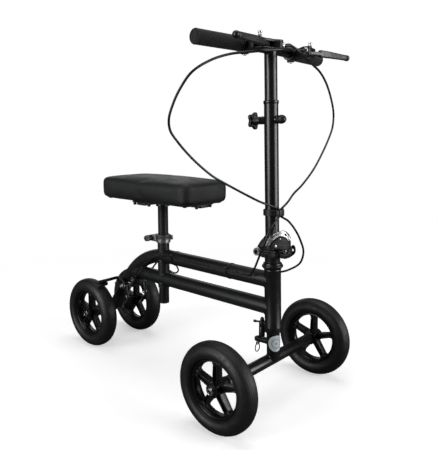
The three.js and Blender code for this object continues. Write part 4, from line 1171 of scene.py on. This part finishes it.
def build_handlebar():
    bm = bmesh.new()
    line = [on_bar(-1, 219), on_bar(-1, 120), on_bar(-1, 40), on_bar(-1, 20), on_bar(1, 0), on_bar(1, 20),
            on_bar(1, 40), on_bar(1, 120), on_bar(1, 219)]
    tube(bm, line, 11.1, 40)
    make("handlebar_tube_painted", bm, ["black"], "handlebar", ["handlebar_tube"], "black_paint")
    for name, side in SIDES.items():
        build_grip(name, side)
        build_perch(name, side)
        build_parking_pin(name, side)
        build_lever(name, side)


def build_grip(name, side):
    bm = bmesh.new()
    start, end = on_bar(side, 97), on_bar(side, 222.4)
    length = (end - start).length
    profile = [(11.3, 0), (15.2, 0), (15.9, 0.7), (15.9, 3.4), (15.2, 4.2), (14.3, 4.8), (14.3, 5.6),
               (14.9, 6.3)]
    t = 8.0
    while t < length - 9:
        profile += [(15.0, t), (15.0, t + 2.1), (14.72, t + 2.5), (14.72, t + 2.9)]
        t += 3.3
    profile += [(15, length - 8), (14.9, length - 7), (14.3, length - 6.4), (14.3, length - 5.6),
                (15.1, length - 5), (15.2, length - 2.4), (14.4, length - 0.7), (13, length),
                (11.2, length), (10.8, length - 0.9), (9.8, length - 0.9), (9.4, length - 0.1),
                (7.4, length), (0, length)]
    lathe(bm, profile, start, end, 56)
    make(f"grip_{name}_foam", bm, ["grip"], "handlebar", [f"grip_{name}"], "grip_rubber")


def build_perch(name, side):
    bm = bmesh.new()
    clamp = [(11.4, 0), (15.4, 0), (16, 0.6), (16, 20.3), (15.4, 21), (11.4, 21)]
    lathe(bm, clamp, on_bar(side, 74), on_bar(side, 95), 44, 0, loop=True)
    body = [(289, 74), (308, 62), (330, 46), (345, 47), (346, 57), (337, 72), (334, 88), (330, 100),
            (312, 100), (304, 95), (289, 95)]
    for low, high in ((797.6, 800.7), (810.9, 816)):
        plate(bm, [soften(mirrored(body, side), 4)], low, high, "z", edge=1.2)
    nose = [(289, 75), (308, 63), (330, 47), (344, 48), (345, 57), (335, 67), (306, 67), (304, 94),
            (289, 94)]
    plate(bm, [soften(mirrored(nose, side), 3)], 799.8, 812, "z", edge=1.0)
    plate(bm, [soften(mirrored([(296, 76), (316, 66), (330, 60), (334, 70), (328, 92), (300, 92)], side),
                      5)], 815, 817.2, "z", edge=0.9)
    box(bm, (266, min(side * 80, side * 89), 790.5), (282, max(side * 80, side * 89), 797.5), 1.6)
    # The sockets of this cap screw and the pivot's cap screw below are painted near black, as shade.
    cap_screw(bm, (274, side * 84.5, 791.5), (274, side * 84.5, 788.4), 3.6, 1, 2)
    x, y = LEVER_X, side * LEVER_Y
    rod(bm, (x, y, 796.6), (x, y, 817.2), 2.6, 0.3, 20, 1)
    cap_screw(bm, (x, y, 815.6), (x, y, 818.6), 4.6, 1, 2)
    hex_nut(bm, (x, y, 798.2), (x, y, 795.4), 5, 1)
    a, b = Vector((336, side * 56, 807)), Vector((341, side * 38.5, 807))
    way = (b - a).normalized()
    lathe(bm, [(0, -3), (5.2, -3), (5.6, -2.4), (5.6, 1.2), (5.2, 1.8), (0, 1.8)], a + way * 4, b, 6, 1)
    disc(bm, 3.4, 5, a + way * 2, b, 24, 1)
    turned(bm, [(4.9, 0), (5.2, 0.5), (5.2, 7.6), (4.7, 8.2), (3.2, 9.4)], a + way * 7.4, b, 48, 1,
           wobble=lambda w: 1 + 0.05 * math.cos(16 * w))
    make(f"lever_perch_{name}_casting", bm, ["plastic", "steel", "hole_and_shade"], "handlebar",
         [f"lever_perch_{name}"], "black_paint")


def build_parking_pin(name, side):
    bm = bmesh.new()
    x, y = PARKING_X, side * PARKING_Y
    rod(bm, (x, y, 812.4), (x, y, 828.4), 2.7, 0.4, 24)
    disc(bm, 3.7, 1.2, (x, y, 824.5), (x, y, 826), 24)
    lathe(bm, [(0, 0), (3.6, 0), (4.5, 0.8), (4.6, 2.8), (3.8, 4), (1.6, 4.7), (0, 4.8)], (x, y, 827.1),
          (x, y, 832), 32)
    helix(bm, (x, y, 820.4), (x, y, 824.4), 3.5, 0.45, 3)
    make(f"parking_pin_{name}_plated", bm, ["steel"], f"parking_pin_{name}", [f"parking_pin_{name}"],
         "bright_steel")


BLADE = [(316, 76), (321, 73), (328, 73), (334, 84), (341, 104), (347, 135), (351, 170), (355, 203),
         (351, 208), (345, 205), (341, 172), (336, 140), (330, 112), (323, 94), (315, 86)]


def build_lever(name, side):
    bm = bmesh.new()
    smooth = smooth_route([(x, y, 0) for x, y in [BLADE[-1], *BLADE, BLADE[0]]][1:], 4)
    outline = mirrored([(q.x, q.y) for q in smooth[:-1]], side)
    plate(bm, [outline], 802, 809.6, "z", edge=1.4)
    kept = set(bm.verts)
    blade = [(333, 105), (341.4, 104.6), (347.4, 135), (351.4, 170), (355, 200), (353, 206), (346, 206),
             (341.6, 172), (336.6, 140), (330.6, 112)]
    plate(bm, [soften(mirrored(blade, side), 2.5)], 799.3, 814.2, "z", edge=2.2)
    for v in bm.verts:
        if v not in kept and v.co.z > 806:
            v.co.z -= 2.8 * min(1.0, max(0.0, (abs(v.co.y) - 118) / 85))
        elif v not in kept:
            v.co.z += 0.6 * min(1.0, max(0.0, (abs(v.co.y) - 118) / 85))
    rod(bm, (LEVER_X, side * LEVER_Y, 801.1), (LEVER_X, side * LEVER_Y, 810.4), 7.4, 1.0, 36)
    lathe(bm, [(0, 0), (3, 0.4), (5.6, 2), (6.8, 4.4), (7, 7), (6.6, 10), (5, 12.6), (2.6, 13.8), (0, 14)],
          (350.4, side * 198, 805.5), (350.4, side * 212, 805.5), 36, 1)
    make(f"brake_lever_{name}_alloy", bm, ["lever", "satin"], f"brake_lever_{name}",
         [f"brake_lever_{name}"], "grey_alloy")


# ------------------------------------------------------------------------------------ seat

SEAT = {"length": 344, "width": 169, "bottom": 452.3, "top": 511}
SWELL_CAP = 0.006  # metres that the cloth simulation may move a point of the cover
STAPLED_BAND = 0.012  # metres above the board over which the cover comes free of it
SWELL_PAST = 0.002  # metres that the cover may swell past the pad's sides
SWELL_FRAMES = 20


def seat_form(inset=2.0):
    """The pad's starting shape: a block with rounded corners and edges, a little smaller than its space."""
    half_x, half_y = SEAT["length"] / 2 - inset, SEAT["width"] / 2 - inset
    low, high = SEAT["bottom"] + 0.5, SEAT["top"] - 2.2
    edge = 13
    corner = 25
    bm = bmesh.new()
    rows = []
    levels = [(9, low), (5.2, low + 1.2), (2.2, low + 4), (0.4, low + 8)]
    levels += [(0.0, low + 14), (0.0, high - edge)]
    levels += [(edge * (1 - math.cos(w)), high - edge + edge * math.sin(w)) for w in (0.35, 0.7, 1.05, 1.35,
                                                                                      1.57)]
    levels += [(edge + 18, high), (edge + 40, high)]
    for shrink, z in levels:
        hx, hy = half_x - shrink, half_y - shrink
        radius = max(4.0, corner - shrink)
        row = []
        for cx, cy, start in ((1, 1, 0), (-1, 1, 90), (-1, -1, 180), (1, -1, 270)):
            for k in range(9):
                w = math.radians(start + 90 * k / 8)
                row.append(bm.verts.new((POST_X + cx * (hx - radius) + radius * math.cos(w),
                                         cy * (hy - radius) + radius * math.sin(w), z)))
        rows.append(row)
    bridge(bm, rows, len(rows[0]), 0)
    bm.faces.new(rows[0])
    bm.faces.new(rows[-1])
    bmesh.ops.recalc_face_normals(bm, faces=bm.faces)
    return bm


def build_seat():
    bm = seat_form()
    bm.transform(Matrix.Scale(MM, 4))
    mesh = bpy.data.meshes.new("seat_pad_cover")
    bm.to_mesh(mesh)
    bm.free()
    pad = bpy.data.objects.new("seat_pad_cover", mesh)
    scene.collection.objects.link(pad)
    remesh = pad.modifiers.new("remesh", "REMESH")
    remesh.mode = "VOXEL"
    remesh.voxel_size = 0.005
    settle(pad)
    rest = [v.co.copy() for v in pad.data.vertices]
    swell(pad)
    low = (SEAT["bottom"] + 0.5) * MM
    for v, home in zip(pad.data.vertices, rest):
        move = v.co - home
        if move.length > SWELL_CAP:
            move *= SWELL_CAP / move.length
        grip = min(1.0, max(0.0, (home.z - low) / STAPLED_BAND))
        v.co = home + move * grip
    smooth = pad.modifiers.new("smooth", "SMOOTH")
    smooth.factor = 0.5
    smooth.iterations = 10
    finer = pad.modifiers.new("finer", "SUBSURF")
    finer.levels = finer.render_levels = 1
    settle(pad)
    most_x, most_y = SEAT["length"] / 2 * MM + SWELL_PAST, SEAT["width"] / 2 * MM + SWELL_PAST
    for v in pad.data.vertices:
        v.co.x = POST_X * MM + max(-most_x, min(most_x, v.co.x - POST_X * MM))
        v.co.y = max(-most_y, min(most_y, v.co.y))
        v.co.z = max(SEAT["bottom"] * MM, v.co.z)
    pad.data.polygons.foreach_set("use_smooth", [True] * len(pad.data.polygons))
    pad.data.materials.append(M["vinyl"])
    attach(pad, "seat")
    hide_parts("seat_pad")


def settle(obj):
    """Replaces the object's mesh by what its modifiers make of it."""
    graph = bpy.context.evaluated_depsgraph_get()
    made = bpy.data.meshes.new_from_object(obj.evaluated_get(graph))
    old = obj.data
    obj.modifiers.clear()
    obj.data = made
    made.name = obj.name
    bpy.data.meshes.remove(old)


def swell(obj):
    cloth = obj.modifiers.new("cloth", "CLOTH")
    settings = cloth.settings
    settings.use_pressure = True
    settings.uniform_pressure_force = 2.2
    settings.effector_weights.gravity = 0
    settings.tension_stiffness = 40
    settings.compression_stiffness = 40
    settings.bending_stiffness = 12
    cloth.point_cache.frame_start = 1
    cloth.point_cache.frame_end = SWELL_FRAMES
    for step in range(1, SWELL_FRAMES + 1):
        scene.frame_set(step)
    settle(obj)
    scene.frame_set(1)


def build_seat_board():
    bm = bmesh.new()
    low = SEAT["bottom"]
    board = rectangle(POST_X - 154, POST_X + 154, -67, 67, 14, 8)
    plate(bm, [board], low - 0.25, low + 7.2, "z", edge=0.8)
    make("seat_board_ply", bm, ["wood"], "seat", ["seat_board"], "board_wood")


def build_under_trim():
    low = SEAT["bottom"]
    bm = bmesh.new()
    border = [rectangle(POST_X - 158, POST_X + 158, -71, 71, 16, 8), rectangle(POST_X - 138, POST_X + 138,
                                                                               -53, 53, 12, 8)]
    plate(bm, border, low - 0.8, low + 0.6, "z", edge=0.3, mat=1)
    for i in range(26):
        for sy in (-1, 1):
            x = POST_X - 143 + 286 * i / 25
            box(bm, (x - 4, sy * 57.4 - 0.6, low - 1.3), (x + 4, sy * 57.4 + 0.6, low + 0.2), 0.35, 2, None,
                2)
    for sx in (-1, 1):
        for sy in (-1, 1):
            lathe(bm, [(0, 0), (5, 0), (5.2, 0.8), (4.4, 2.6), (0, 3.2)],
                  (POST_X + sx * 146, sy * 62, low - 0.6), (POST_X + sx * 146, sy * 62, low - 5), 28, 3)
    make("seat_under_trim", bm, ["vinyl", "cloth", "steel", "plastic"], "seat", (), "seat_vinyl")


def build_seat_bracket():
    bm = bmesh.new()
    lathe(bm, [(14.3, 0), (18.4, 0), (19, 0.6), (19, 6.4), (20.4, 8.4), (22, 9.2), (14.3, 9.2)],
          (POST_X, 0, 434), (POST_X, 0, 444), 48, 0, loop=True)
    under = SEAT["bottom"] - 0.3
    for hx, hy in ((158, 32), (36, 79)):
        plate(bm, [rectangle(POST_X - hx, POST_X + hx, -hy, hy, 6)], under - 2.4, under, "z", edge=0.7)
    for hx, hy in ((150, 15), (16, 72)):
        box(bm, (POST_X - hx, -hy, 443.2), (POST_X + hx, hy, under - 1), 1.6)
    for sx in (-1, 1):
        a, b = sorted((POST_X + sx * 144, POST_X + sx * 156))
        box(bm, (a, -16, 443), (b, 16, under - 0.4), 2.6, 3)
        box(bm, (POST_X - 17, min(sx * 66, sx * 78), 443), (POST_X + 17, max(sx * 66, sx * 78),
                                                            under - 0.4), 2.6, 3)
    for dx, dy in ((28, 74), (151, 25)):
        for sx in (-1, 1):
            for sy in (-1, 1):
                x, y = POST_X + sx * dx, sy * dy
                hex_nut(bm, (x, y, 449.4), (x, y, 445.6), 4.6, 3)
                lathe(bm, [(0, 0), (3.4, 0), (4, 0.5), (4, 3.4), (3.2, 4.2), (0, 4.4)], (x, y, 446.4),
                      (x, y, 442), 24, 3)
    make("seat_bracket_cross", bm, ["satin", "dark_steel", "hole_and_shade", "plastic"], "seat", ["seat_bracket"],
         "black_paint")


def build_seat_post():
    bm = bmesh.new()
    lathe(bm, [(12.2, 0), (13.6, 0), (14, 0.5), (14, 282), (13.6, 282.7), (12.2, 282.7)], (POST_X, 0, 160),
          (POST_X, 0, 441), 56, 0, loop=True)
    # Near-black discs stand for the post's row of holes: painted shade in place of open holes.
    for k in range(5):
        spot = Vector((POST_X, 0, 322 - 27 * k)) + HOLE_FACING * 13.8
        disc(bm, 3.2, 0.4, spot, spot + HOLE_FACING, 20, 1)
    make("seat_post_painted", bm, ["post", "hole_and_shade"], "seat", ["seat_post"], "black_paint")


CLAMP_X, CLAMP_Z = -109, 343


def build_clamp_collar():
    bm = bmesh.new()
    lathe(bm, [(16.5, 0), (19, 0), (19.8, 0.8), (19.8, 9.2), (19.2, 10), (16.5, 10)],
          (POST_X, 0, CLAMP_Z - 10), (POST_X, 0, CLAMP_Z), 56, 1, loop=True)
    lathe(bm, [(16.5, 0), (19.2, 0), (19.2, 6), (19.8, 7), (19.8, 11.4), (19, 12.4), (16.5, 12.4)],
          (POST_X, 0, CLAMP_Z), (POST_X, 0, CLAMP_Z + 12.4), 56, 0, loop=True)
    ear = [(POST_X - 15, CLAMP_Z - 9), (POST_X - 15, CLAMP_Z + 9), (CLAMP_X, CLAMP_Z + 9),
           (CLAMP_X - 8, CLAMP_Z + 3), (CLAMP_X - 8, CLAMP_Z - 3), (CLAMP_X, CLAMP_Z - 9)]
    for side in (-1, 1):
        plate(bm, [soften(ear, 4)], *span(side, 2.6, 14), "y", edge=1.1)
        plate(bm, [circle(8.2, (CLAMP_X, CLAMP_Z), 32)], *span(side, 12, 20), "y", edge=1.0)
    make("seat_clamp_collar_cast", bm, ["alloy", "steel"], "frame", ["seat_clamp_collar"], "grey_alloy")


def build_clamp_bolt():
    bm = bmesh.new()
    rod(bm, (CLAMP_X, -32, CLAMP_Z), (CLAMP_X, 21, CLAMP_Z), 3, 0.3, 24)
    rod(bm, (CLAMP_X, 20, CLAMP_Z), (CLAMP_X, 29, CLAMP_Z), 2.2, 0.3, 20)
    lathe(bm, [(0, 0), (7.8, 0), (8.5, 0.8), (8.5, 8), (8.0, 8.6), (7.4, 8.9), (7.4, 9.6), (8, 10),
               (8, 11.6), (7, 12.6), (3.6, 12.8)], (CLAMP_X, -20.4, CLAMP_Z), (CLAMP_X, -33, CLAMP_Z), 60,
          0, wobble=lambda w: 1 + 0.018 * math.cos(30 * w))
    # The shallow recess in the barrel nut's end is painted near black, as shade.
    lathe(bm, [(3.6, 12.8), (3.3, 12), (0, 11.9)], (CLAMP_X, -20.4, CLAMP_Z), (CLAMP_X, -33, CLAMP_Z), 24,
          1)
    rod(bm, (CLAMP_X, 28, CLAMP_Z - 8.2), (CLAMP_X, 28, CLAMP_Z + 8.2), 2.2, 0.4, 20)
    make("seat_clamp_bolt_plated", bm, ["steel", "hole_and_shade"], "frame", ["seat_clamp_bolt"], "bright_steel")


def build_clamp_lever():
    bm = bmesh.new()
    arm = [(CLAMP_X - 5, 20.8), (CLAMP_X + 12, 24), (CLAMP_X + 38, 23), (CLAMP_X + 44, 24.4),
           (CLAMP_X + 44.4, 30), (CLAMP_X + 38, 31), (CLAMP_X + 14, 33), (CLAMP_X - 2, 35.2),
           (CLAMP_X - 7.2, 30), (CLAMP_X - 7.2, 26)]
    for low, high in ((CLAMP_Z - 6.5, CLAMP_Z - 2.7), (CLAMP_Z + 2.7, CLAMP_Z + 6.5)):
        lathe(bm, [(2.5, 0), (6.8, 0), (7.3, 0.5), (7.3, 3.3), (6.8, 3.8), (2.5, 3.8)], (CLAMP_X, 28, low),
              (CLAMP_X, 28, high), 36, 0, loop=True)
    plate(bm, [soften([(CLAMP_X + 6, 21.8), *arm[1:7], (CLAMP_X + 7, 33.6)], 2.5)], CLAMP_Z - 6.3,
          CLAMP_Z + 6.3, "z", edge=1.8)
    make("seat_clamp_lever_cast", bm, ["alloy"], "seat_clamp_lever", ["seat_clamp_lever"], "grey_alloy")


# --------------------------------------------------------------------------- steering lock


LOCK_X = 269


def build_lock_barrel():
    bm = bmesh.new()
    lathe(bm, [(5.3, 0), (7, 0), (7.5, 0.5), (7.5, 23), (7.1, 23.6), (7.1, 24.4), (7.5, 25), (7.5, 34),
               (6.6, 37.6), (5.3, 38)], (LOCK_X, 0, 152), (LOCK_X, 0, 190), 40, 0, loop=True)
    box(bm, (LOCK_X + 4, -3.6, 178), (281, 3.6, 189.6), 0.9)
    weld(bm, ring_points((274, 0, 184), (1, 0, 0), 4.4, 36), (1, 0, 0),
         [COLUMN @ Vector((0, 0, 170)), COLUMN @ Vector((0, 0, 330))], 19.4, 1.3)
    make("steering_lock_barrel_black", bm, ["satin"], "frame", ["steering_lock_barrel"], "black_paint")


def build_lock_pin():
    bm = bmesh.new()
    lathe(bm, [(0, 0), (3.6, 0), (4.8, 1.6), (4.8, 42), (4.9, 43), (4.4, 46.4), (2.6, 48.4), (0, 49)],
          (LOCK_X, 0, 150.6), (LOCK_X, 0, 199), 32)
    rod(bm, (LOCK_X, 0, 187), (LOCK_X - 24.4, 0, 184), 2.3, 0.9, 24)
    lathe(bm, [(0, 0), (2.8, 0.4), (3.3, 2), (3.3, 6.4), (2.6, 8), (0, 8.4)], (LOCK_X - 17, 0, 184.9),
          (LOCK_X - 25, 0, 183.9), 28, 1)
    helix(bm, (LOCK_X, 0, 156), (LOCK_X, 0, 176), 5.0, 0.3, 8)
    make("steering_lock_pin_black", bm, ["satin", "plastic"], "steering_lock_pin", ["steering_lock_pin"],
         "black_paint")


def build_lock_ring():
    bm = bmesh.new()
    eye = COLUMN @ Vector((-46.6, 0, 133.4))
    points = []
    for k in range(40):
        w = 2 * math.pi * k / 40
        points.append((eye.x, 9.2 * math.sin(w) * (0.9 - 0.1 * math.cos(w)),
                       eye.z - 11.04 + 11.04 * math.cos(w)))
    tube(bm, points, 1.3, 12, 0, loop=True)
    make("steering_lock_ring_wire", bm, ["dark_steel"], "steering_lock_ring", ["steering_lock_ring"],
         "black_paint")


# ---------------------------------------------------------------------------------- brakes

BRAKE_X, BRAKE_Z = -205, 190
BAR_X, BAR_Z = -238, 208
LINK_X, LINK_Z = -197, 158  # the bolt that holds the inner wire on a brake arm
SHOE_GAP = 6.4


def build_brakes():
    bm = bmesh.new()
    rod(bm, (BRAKE_X, -52, BRAKE_Z), (BRAKE_X, 52, BRAKE_Z), 4, 0.5, 28)
    for side in (-1, 1):
        hex_nut(bm, (BRAKE_X, side * 41, BRAKE_Z), (BRAKE_X, side * 46, BRAKE_Z), 7, 0)
        disc(bm, 8, 1, (BRAKE_X, side * 40.2, BRAKE_Z), (BRAKE_X, side * 41.2, BRAKE_Z), 28)
        disc(bm, 5.6, 8, (BRAKE_X, side * 15, BRAKE_Z), (BRAKE_X, side * 23, BRAKE_Z), 28, 1)
    saddle = [(BRAKE_X - 11, BRAKE_Z - 8), (BRAKE_X + 13, BRAKE_Z - 8), (BRAKE_X + 16, BRAKE_Z + 16),
              (BRAKE_X - 6, BRAKE_Z + 20)]
    cheeks(bm, soften(saddle, 4), 10.6, 14, 0.8, 1)
    box(bm, (BRAKE_X - 9, -11, BRAKE_Z - 7), (BRAKE_X + 11, 11, BRAKE_Z + 2), 1.5, 1)
    box(bm, (-180, -36, 206), (-168, 36, 212), 1.2, 1)
    box(bm, (-194, -7, 190), (-168, 7, 211), 1.6, 1)
    make("brake_mount_bracket", bm, ["steel", "satin"], "frame", ["brake_mount"], "bright_steel")

    for name, side in SIDES.items():
        build_brake_arm(name, side)
        build_brake_shoe(name, side)
        build_brake_cable_end(name, side)


def build_brake_arm(name, side):
    bm = bmesh.new()

    lathe(bm, [(4.4, 0), (7.4, 0), (8, 0.6), (8, 15.4), (7.4, 16), (4.4, 16)],
          (BRAKE_X, side * 24, BRAKE_Z), (BRAKE_X, side * 40, BRAKE_Z), 36, 0, loop=True)
    link = [(BRAKE_X - 5, BRAKE_Z - 7), (BRAKE_X + 6, BRAKE_Z + 5), (BAR_X + 3, BAR_Z + 5),
            (BAR_X - 5, BAR_Z + 1), (BAR_X - 3, BAR_Z - 5)]
    plate(bm, [soften(link, 3)], *span(side, 28, 36), "y", edge=1.4)
    tail = [(BRAKE_X - 7, BRAKE_Z - 2), (-202, 156), (-198, 153), (-192, 155), (BRAKE_X + 8, BRAKE_Z)]
    plate(bm, [soften(tail, 3)], *span(side, 29, 35), "y", edge=1.1)
    corner = smooth_route([(BAR_X + 8, side * 31, BAR_Z - 4.5), (BAR_X + 2, side * 32, BAR_Z - 1),
                           (BAR_X, side * 37, BAR_Z), (BAR_X, side * 60, BAR_Z),
                           (BAR_X, side * 104.4, BAR_Z)], 2.5)
    tube(bm, corner, 4.5, 24)
    lathe(bm, [(0, 0), (4.5, 0), (4.4, 1), (3, 1.8), (0, 2)], (BAR_X, side * 104, BAR_Z),
          (BAR_X, side * 107, BAR_Z), 24)
    cap_screw(bm, (BAR_X - 2, side * 37, BAR_Z - 16), (BAR_X - 2, side * 41, BAR_Z - 16), 3.4, 1, 1)
    rod(bm, (LINK_X, side * 27.5, LINK_Z), (LINK_X, side * 37, LINK_Z), 3.4, 0.5, 24, 1)
    hex_nut(bm, (LINK_X, side * 36, LINK_Z), (LINK_X, side * 39.4, LINK_Z), 4.8, 1)
    helix(bm, (BRAKE_X, side * 15.5, BRAKE_Z), (BRAKE_X, side * 23.5, BRAKE_Z), 6.8, 0.9, 5, 1)
    make(f"brake_arm_{name}_forging", bm, ["satin", "steel"], f"brake_arm_{name}", [f"brake_arm_{name}"],
         "black_paint")


def build_brake_shoe(name, side):
    bm = bmesh.new()
    toward = Vector((-AXLE_X - BAR_X, 0, AXLE_Z - BAR_Z))
    distance = toward.length
    toward.normalize()
    thick = distance - 4.8 - (AXLE_Z + SHOE_GAP)
    centre = Vector((-AXLE_X, side * 85, AXLE_Z)) - toward * (AXLE_Z + SHOE_GAP + thick / 2)
    turn = Matrix.Translation(centre) @ Vector((0, 0, -1)).rotation_difference(toward).to_matrix().to_4x4()
    half = thick / 2
    box(bm, (-8, -15, -half), (8, 15, half - 1.6), 1.4, 0, turn)
    box(bm, (-7, -14, half - 2), (7, 14, half), 0.8, 1, turn)
    for k in range(-2, 3):
        box(bm, (-8.3, k * 5.2 - 0.8, -half - 0.3), (8.3, k * 5.2 + 0.8, -half + 1.2), 0.4, 0, turn, 2)
    make(f"brake_shoe_{name}_block", bm, ["rubber", "dark_steel"], f"brake_arm_{name}",
         [f"brake_shoe_{name}"], "tyre_rubber")


def build_brake_cable_end(name, side):
    """Adjuster barrel on the cross lug, on the frame."""
    bm = bmesh.new()
    y = side * 32
    top, foot = Vector((-166.6, y, 220)), Vector((-177, y, 200))
    way = (foot - top).normalized()
    turned(bm, [(3.2, 0), (3.5, 0.5), (3.5, 5)], top - way * 4, foot, 28, 1)
    turned(bm, [(4.2, 0), (4.6, 0.5), (4.6, 6), (4.1, 6.6)], top + way * 1, foot, 48, 0,
           wobble=lambda w: 1 + 0.05 * math.cos(14 * w))
    hex_nut(bm, top + way * 8, top + way * 11, 5, 0)
    disc(bm, 2.8, 12, top + way * 6, foot, 24, 0)
    make(f"brake_cable_adjuster_{name}", bm, ["steel", "plastic"], "frame", (), "bright_steel")


def build_brake_wires():
    """The bare inner wires from the adjusters to the brake arms."""
    for name, side in SIDES.items():
        bm = bmesh.new()
        wire = [(-176, side * 32, 203), (-186, side * 32, 180), (-191, side * 33, 160),
                (-203, side * 34, 143), (-218, side * 33, 124)]
        tube(bm, smooth_route(wire, 3), 1.2, 12)
        turned(bm, [(2.2, 0), (2.4, 0.4), (2.4, 7)], (-218, side * 33, 124), (-222, side * 33, 117), 20)
        piece = make(f"brake_wire_{name}", bm, ["steel"], None)
        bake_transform(piece)


def build_cable_ties():
    bm = bmesh.new()
    for x in (172, -20):
        ring = []
        for k in range(72):
            w = 2 * math.pi * k / 72
            away = 1.0 + sum(4.2 * max(0.0, math.cos(w - math.radians(at))) ** 24 for at in (20, 160))
            ring.append((math.cos(w) * (MAIN_RADIUS + away), UPPER_Z + math.sin(w) * (MAIN_RADIUS + away)))
        inner = [(y * 0.96, UPPER_Z + (z - UPPER_Z) * 0.96) for y, z in ring]
        plate(bm, [ring, inner], x - 2.4, x + 2.4, "x", edge=0.3)
        box(bm, (x - 3.4, -26.4, 304), (x + 3.4, -21.4, 309), 0.9)
    make("cable_ties", bm, ["plastic"], "frame", (), "black_plastic")


def build_spare_loop():
    """The spare loop of cable in the frame's window."""
    bm = bmesh.new()
    loop = [(-65, 20, 274), (-50, 20.5, 270), (-40, 21, 262), (-37, 21, 255), (-42, 20.5, 248),
            (-56, 19.6, 244)]
    tube(bm, smooth_route(loop, 2.5), 2.2, 14)
    turned(bm, [(2.6, 0), (3.2, 1), (3.2, 20), (2.4, 21), (2.4, 30), (1.2, 31)], (-56, 19.6, 244),
           (-100, 17.5, 255), 28, 1)
    make("spare_cable_loop", bm, ["cable", "steel"], "frame", (), "black_plastic")


# ---------------------------------------------------------------------------------- cables

LEFT_LEVER_LOOP = [
    (341.4, 37, 807), (341, 30, 806.5), (339, 12, 804), (338, -14, 801), (344, -32, 799.4),
    (352, -46, 797), (355, -72, 794), (346, -109, 789), (328, -136, 785), (308, -172, 779),
    (292, -210, 765), (277, -244, 742), (260, -258, 712), (244, -261, 685), (232, -261, 657),
    (226, -252, 635), (227, -235, 615), (228, -206, 589), (232, -175, 564), (242, -146, 541),
    (255, -119, 524), (278, -83, 501), (298, -56, 484), (309, -32, 474), (313, -14, 467.5),
    (313.5, -7, 465.2),
]
RIGHT_LEVER_LOOP = [
    (341.4, -37, 807), (345, -27, 808.5), (351, -14, 803), (353, 2, 796), (350, 25, 790),
    (342, 71, 778.5), (330, 122, 768), (314, 180, 747), (303, 222, 718), (294, 253, 688),
    (290, 263.1, 668), (292, 254, 640), (296, 176, 553), (302, 105, 509), (308, 60, 492),
    (312, 32, 476.5), (313.5, 14, 468.5), (313.5, 7, 465.2),
]
RIGHT_MIDDLE = [
    (313.5, -6, 444.7), (312.5, -12, 439.5), (310, -23, 430), (306, -34, 410), (299, -40, 385),
    (283, -37, 352), (268, -31, 326), (258, -29, 311), (252, -24.6, 304),
]
LEFT_MIDDLE = [
    (313.5, 6, 444.7), (314, 14, 441), (315, 30, 433), (317, 55, 411), (318, 78, 383), (318, 95, 349),
    (312, 91, 322), (298, 69, 308), (285, 51, 303), (262, 27, 303),
]
RIGHT_REAR = [
    (248, -23.5, 302.5), (235, -21.8, 302), (100, -21.8, 302), (-40, -21.8, 302), (-80, -24, 293),
    (-115, -27, 274), (-148, -30, 246), (-166.6, -32, 220),
]
LEFT_REAR = [
    (258, 25, 303), (240, 21.8, 302), (100, 21.8, 302), (-40, 21.8, 302), (-80, 24, 293), (-115, 27, 274),
    (-148, 30, 246), (-166.6, 32, 220),
]


CABLE_RADIUS = 2.5
END_RADIUS = 3.2  # of the short sleeve where a cable leaves its lever
CURVE_STEP = 3.5


def build_cables():
    routes = {
        "cable_upper_left_lever": (LEFT_LEVER_LOOP, ("column", "handlebar")),
        "cable_upper_right_lever": (RIGHT_LEVER_LOOP, ("column", "handlebar")),
        "cable_rear_right": (RIGHT_REAR, None),
        "cable_rear_left": (LEFT_REAR, None),
    }
    for name, (route, bend) in routes.items():
        bm = bmesh.new()
        line = smooth_route(route, CURVE_STEP)
        tube(bm, line, CABLE_RADIUS, 16)
        if bend:
            tube(bm, line[:5], END_RADIUS, 20)
            piece = make(name + "_jacket", bm, ["cable"], None)
            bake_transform(piece)
            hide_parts(name)
        else:
            make(name + "_jacket", bm, ["cable"], "frame", [name], "black_plastic")
    for name, route, joint in (("cable_mid_right", RIGHT_MIDDLE, 4), ("cable_mid_left", LEFT_MIDDLE, 5)):
        line = smooth_route(route, CURVE_STEP)
        meeting = Vector(route[joint])
        near = min(range(len(line)), key=lambda i: (line[i] - meeting).length)
        for part, points, bodies in (("upper", line[:near + 1], ("fork", "column")),
                                     ("lower", line[near:], ("frame", "fork"))):
            bm = bmesh.new()
            tube(bm, points, CABLE_RADIUS, 16)
            piece = make(f"{name}_{part}_jacket", bm, ["cable"], None)
            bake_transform(piece)
            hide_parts(name)


M = make_materials()
set_stage()
for build in (build_wheels, build_axles,
              build_upper_tube, build_lower_tube, build_seat_socket, build_rear_beam,
              build_head_tube, build_lower_cup, build_upper_cup,
              build_front_stem, build_front_beam, build_badge,
              build_fold_base, build_fold_catch, build_fold_pivot, build_fold_head,
              build_latch_bolt, build_fold_lever, build_fold_lever_cap,
              build_outer_tube, build_inner_tube, build_cable_band, build_height_knob, build_height_pin,
              build_handlebar,
              build_seat, build_seat_board, build_under_trim, build_seat_bracket, build_seat_post,
              build_clamp_collar, build_clamp_bolt, build_clamp_lever,
              build_lock_barrel, build_lock_pin, build_lock_ring,
              build_brakes, build_brake_wires, build_cable_ties, build_spare_loop, build_cables):
    build()
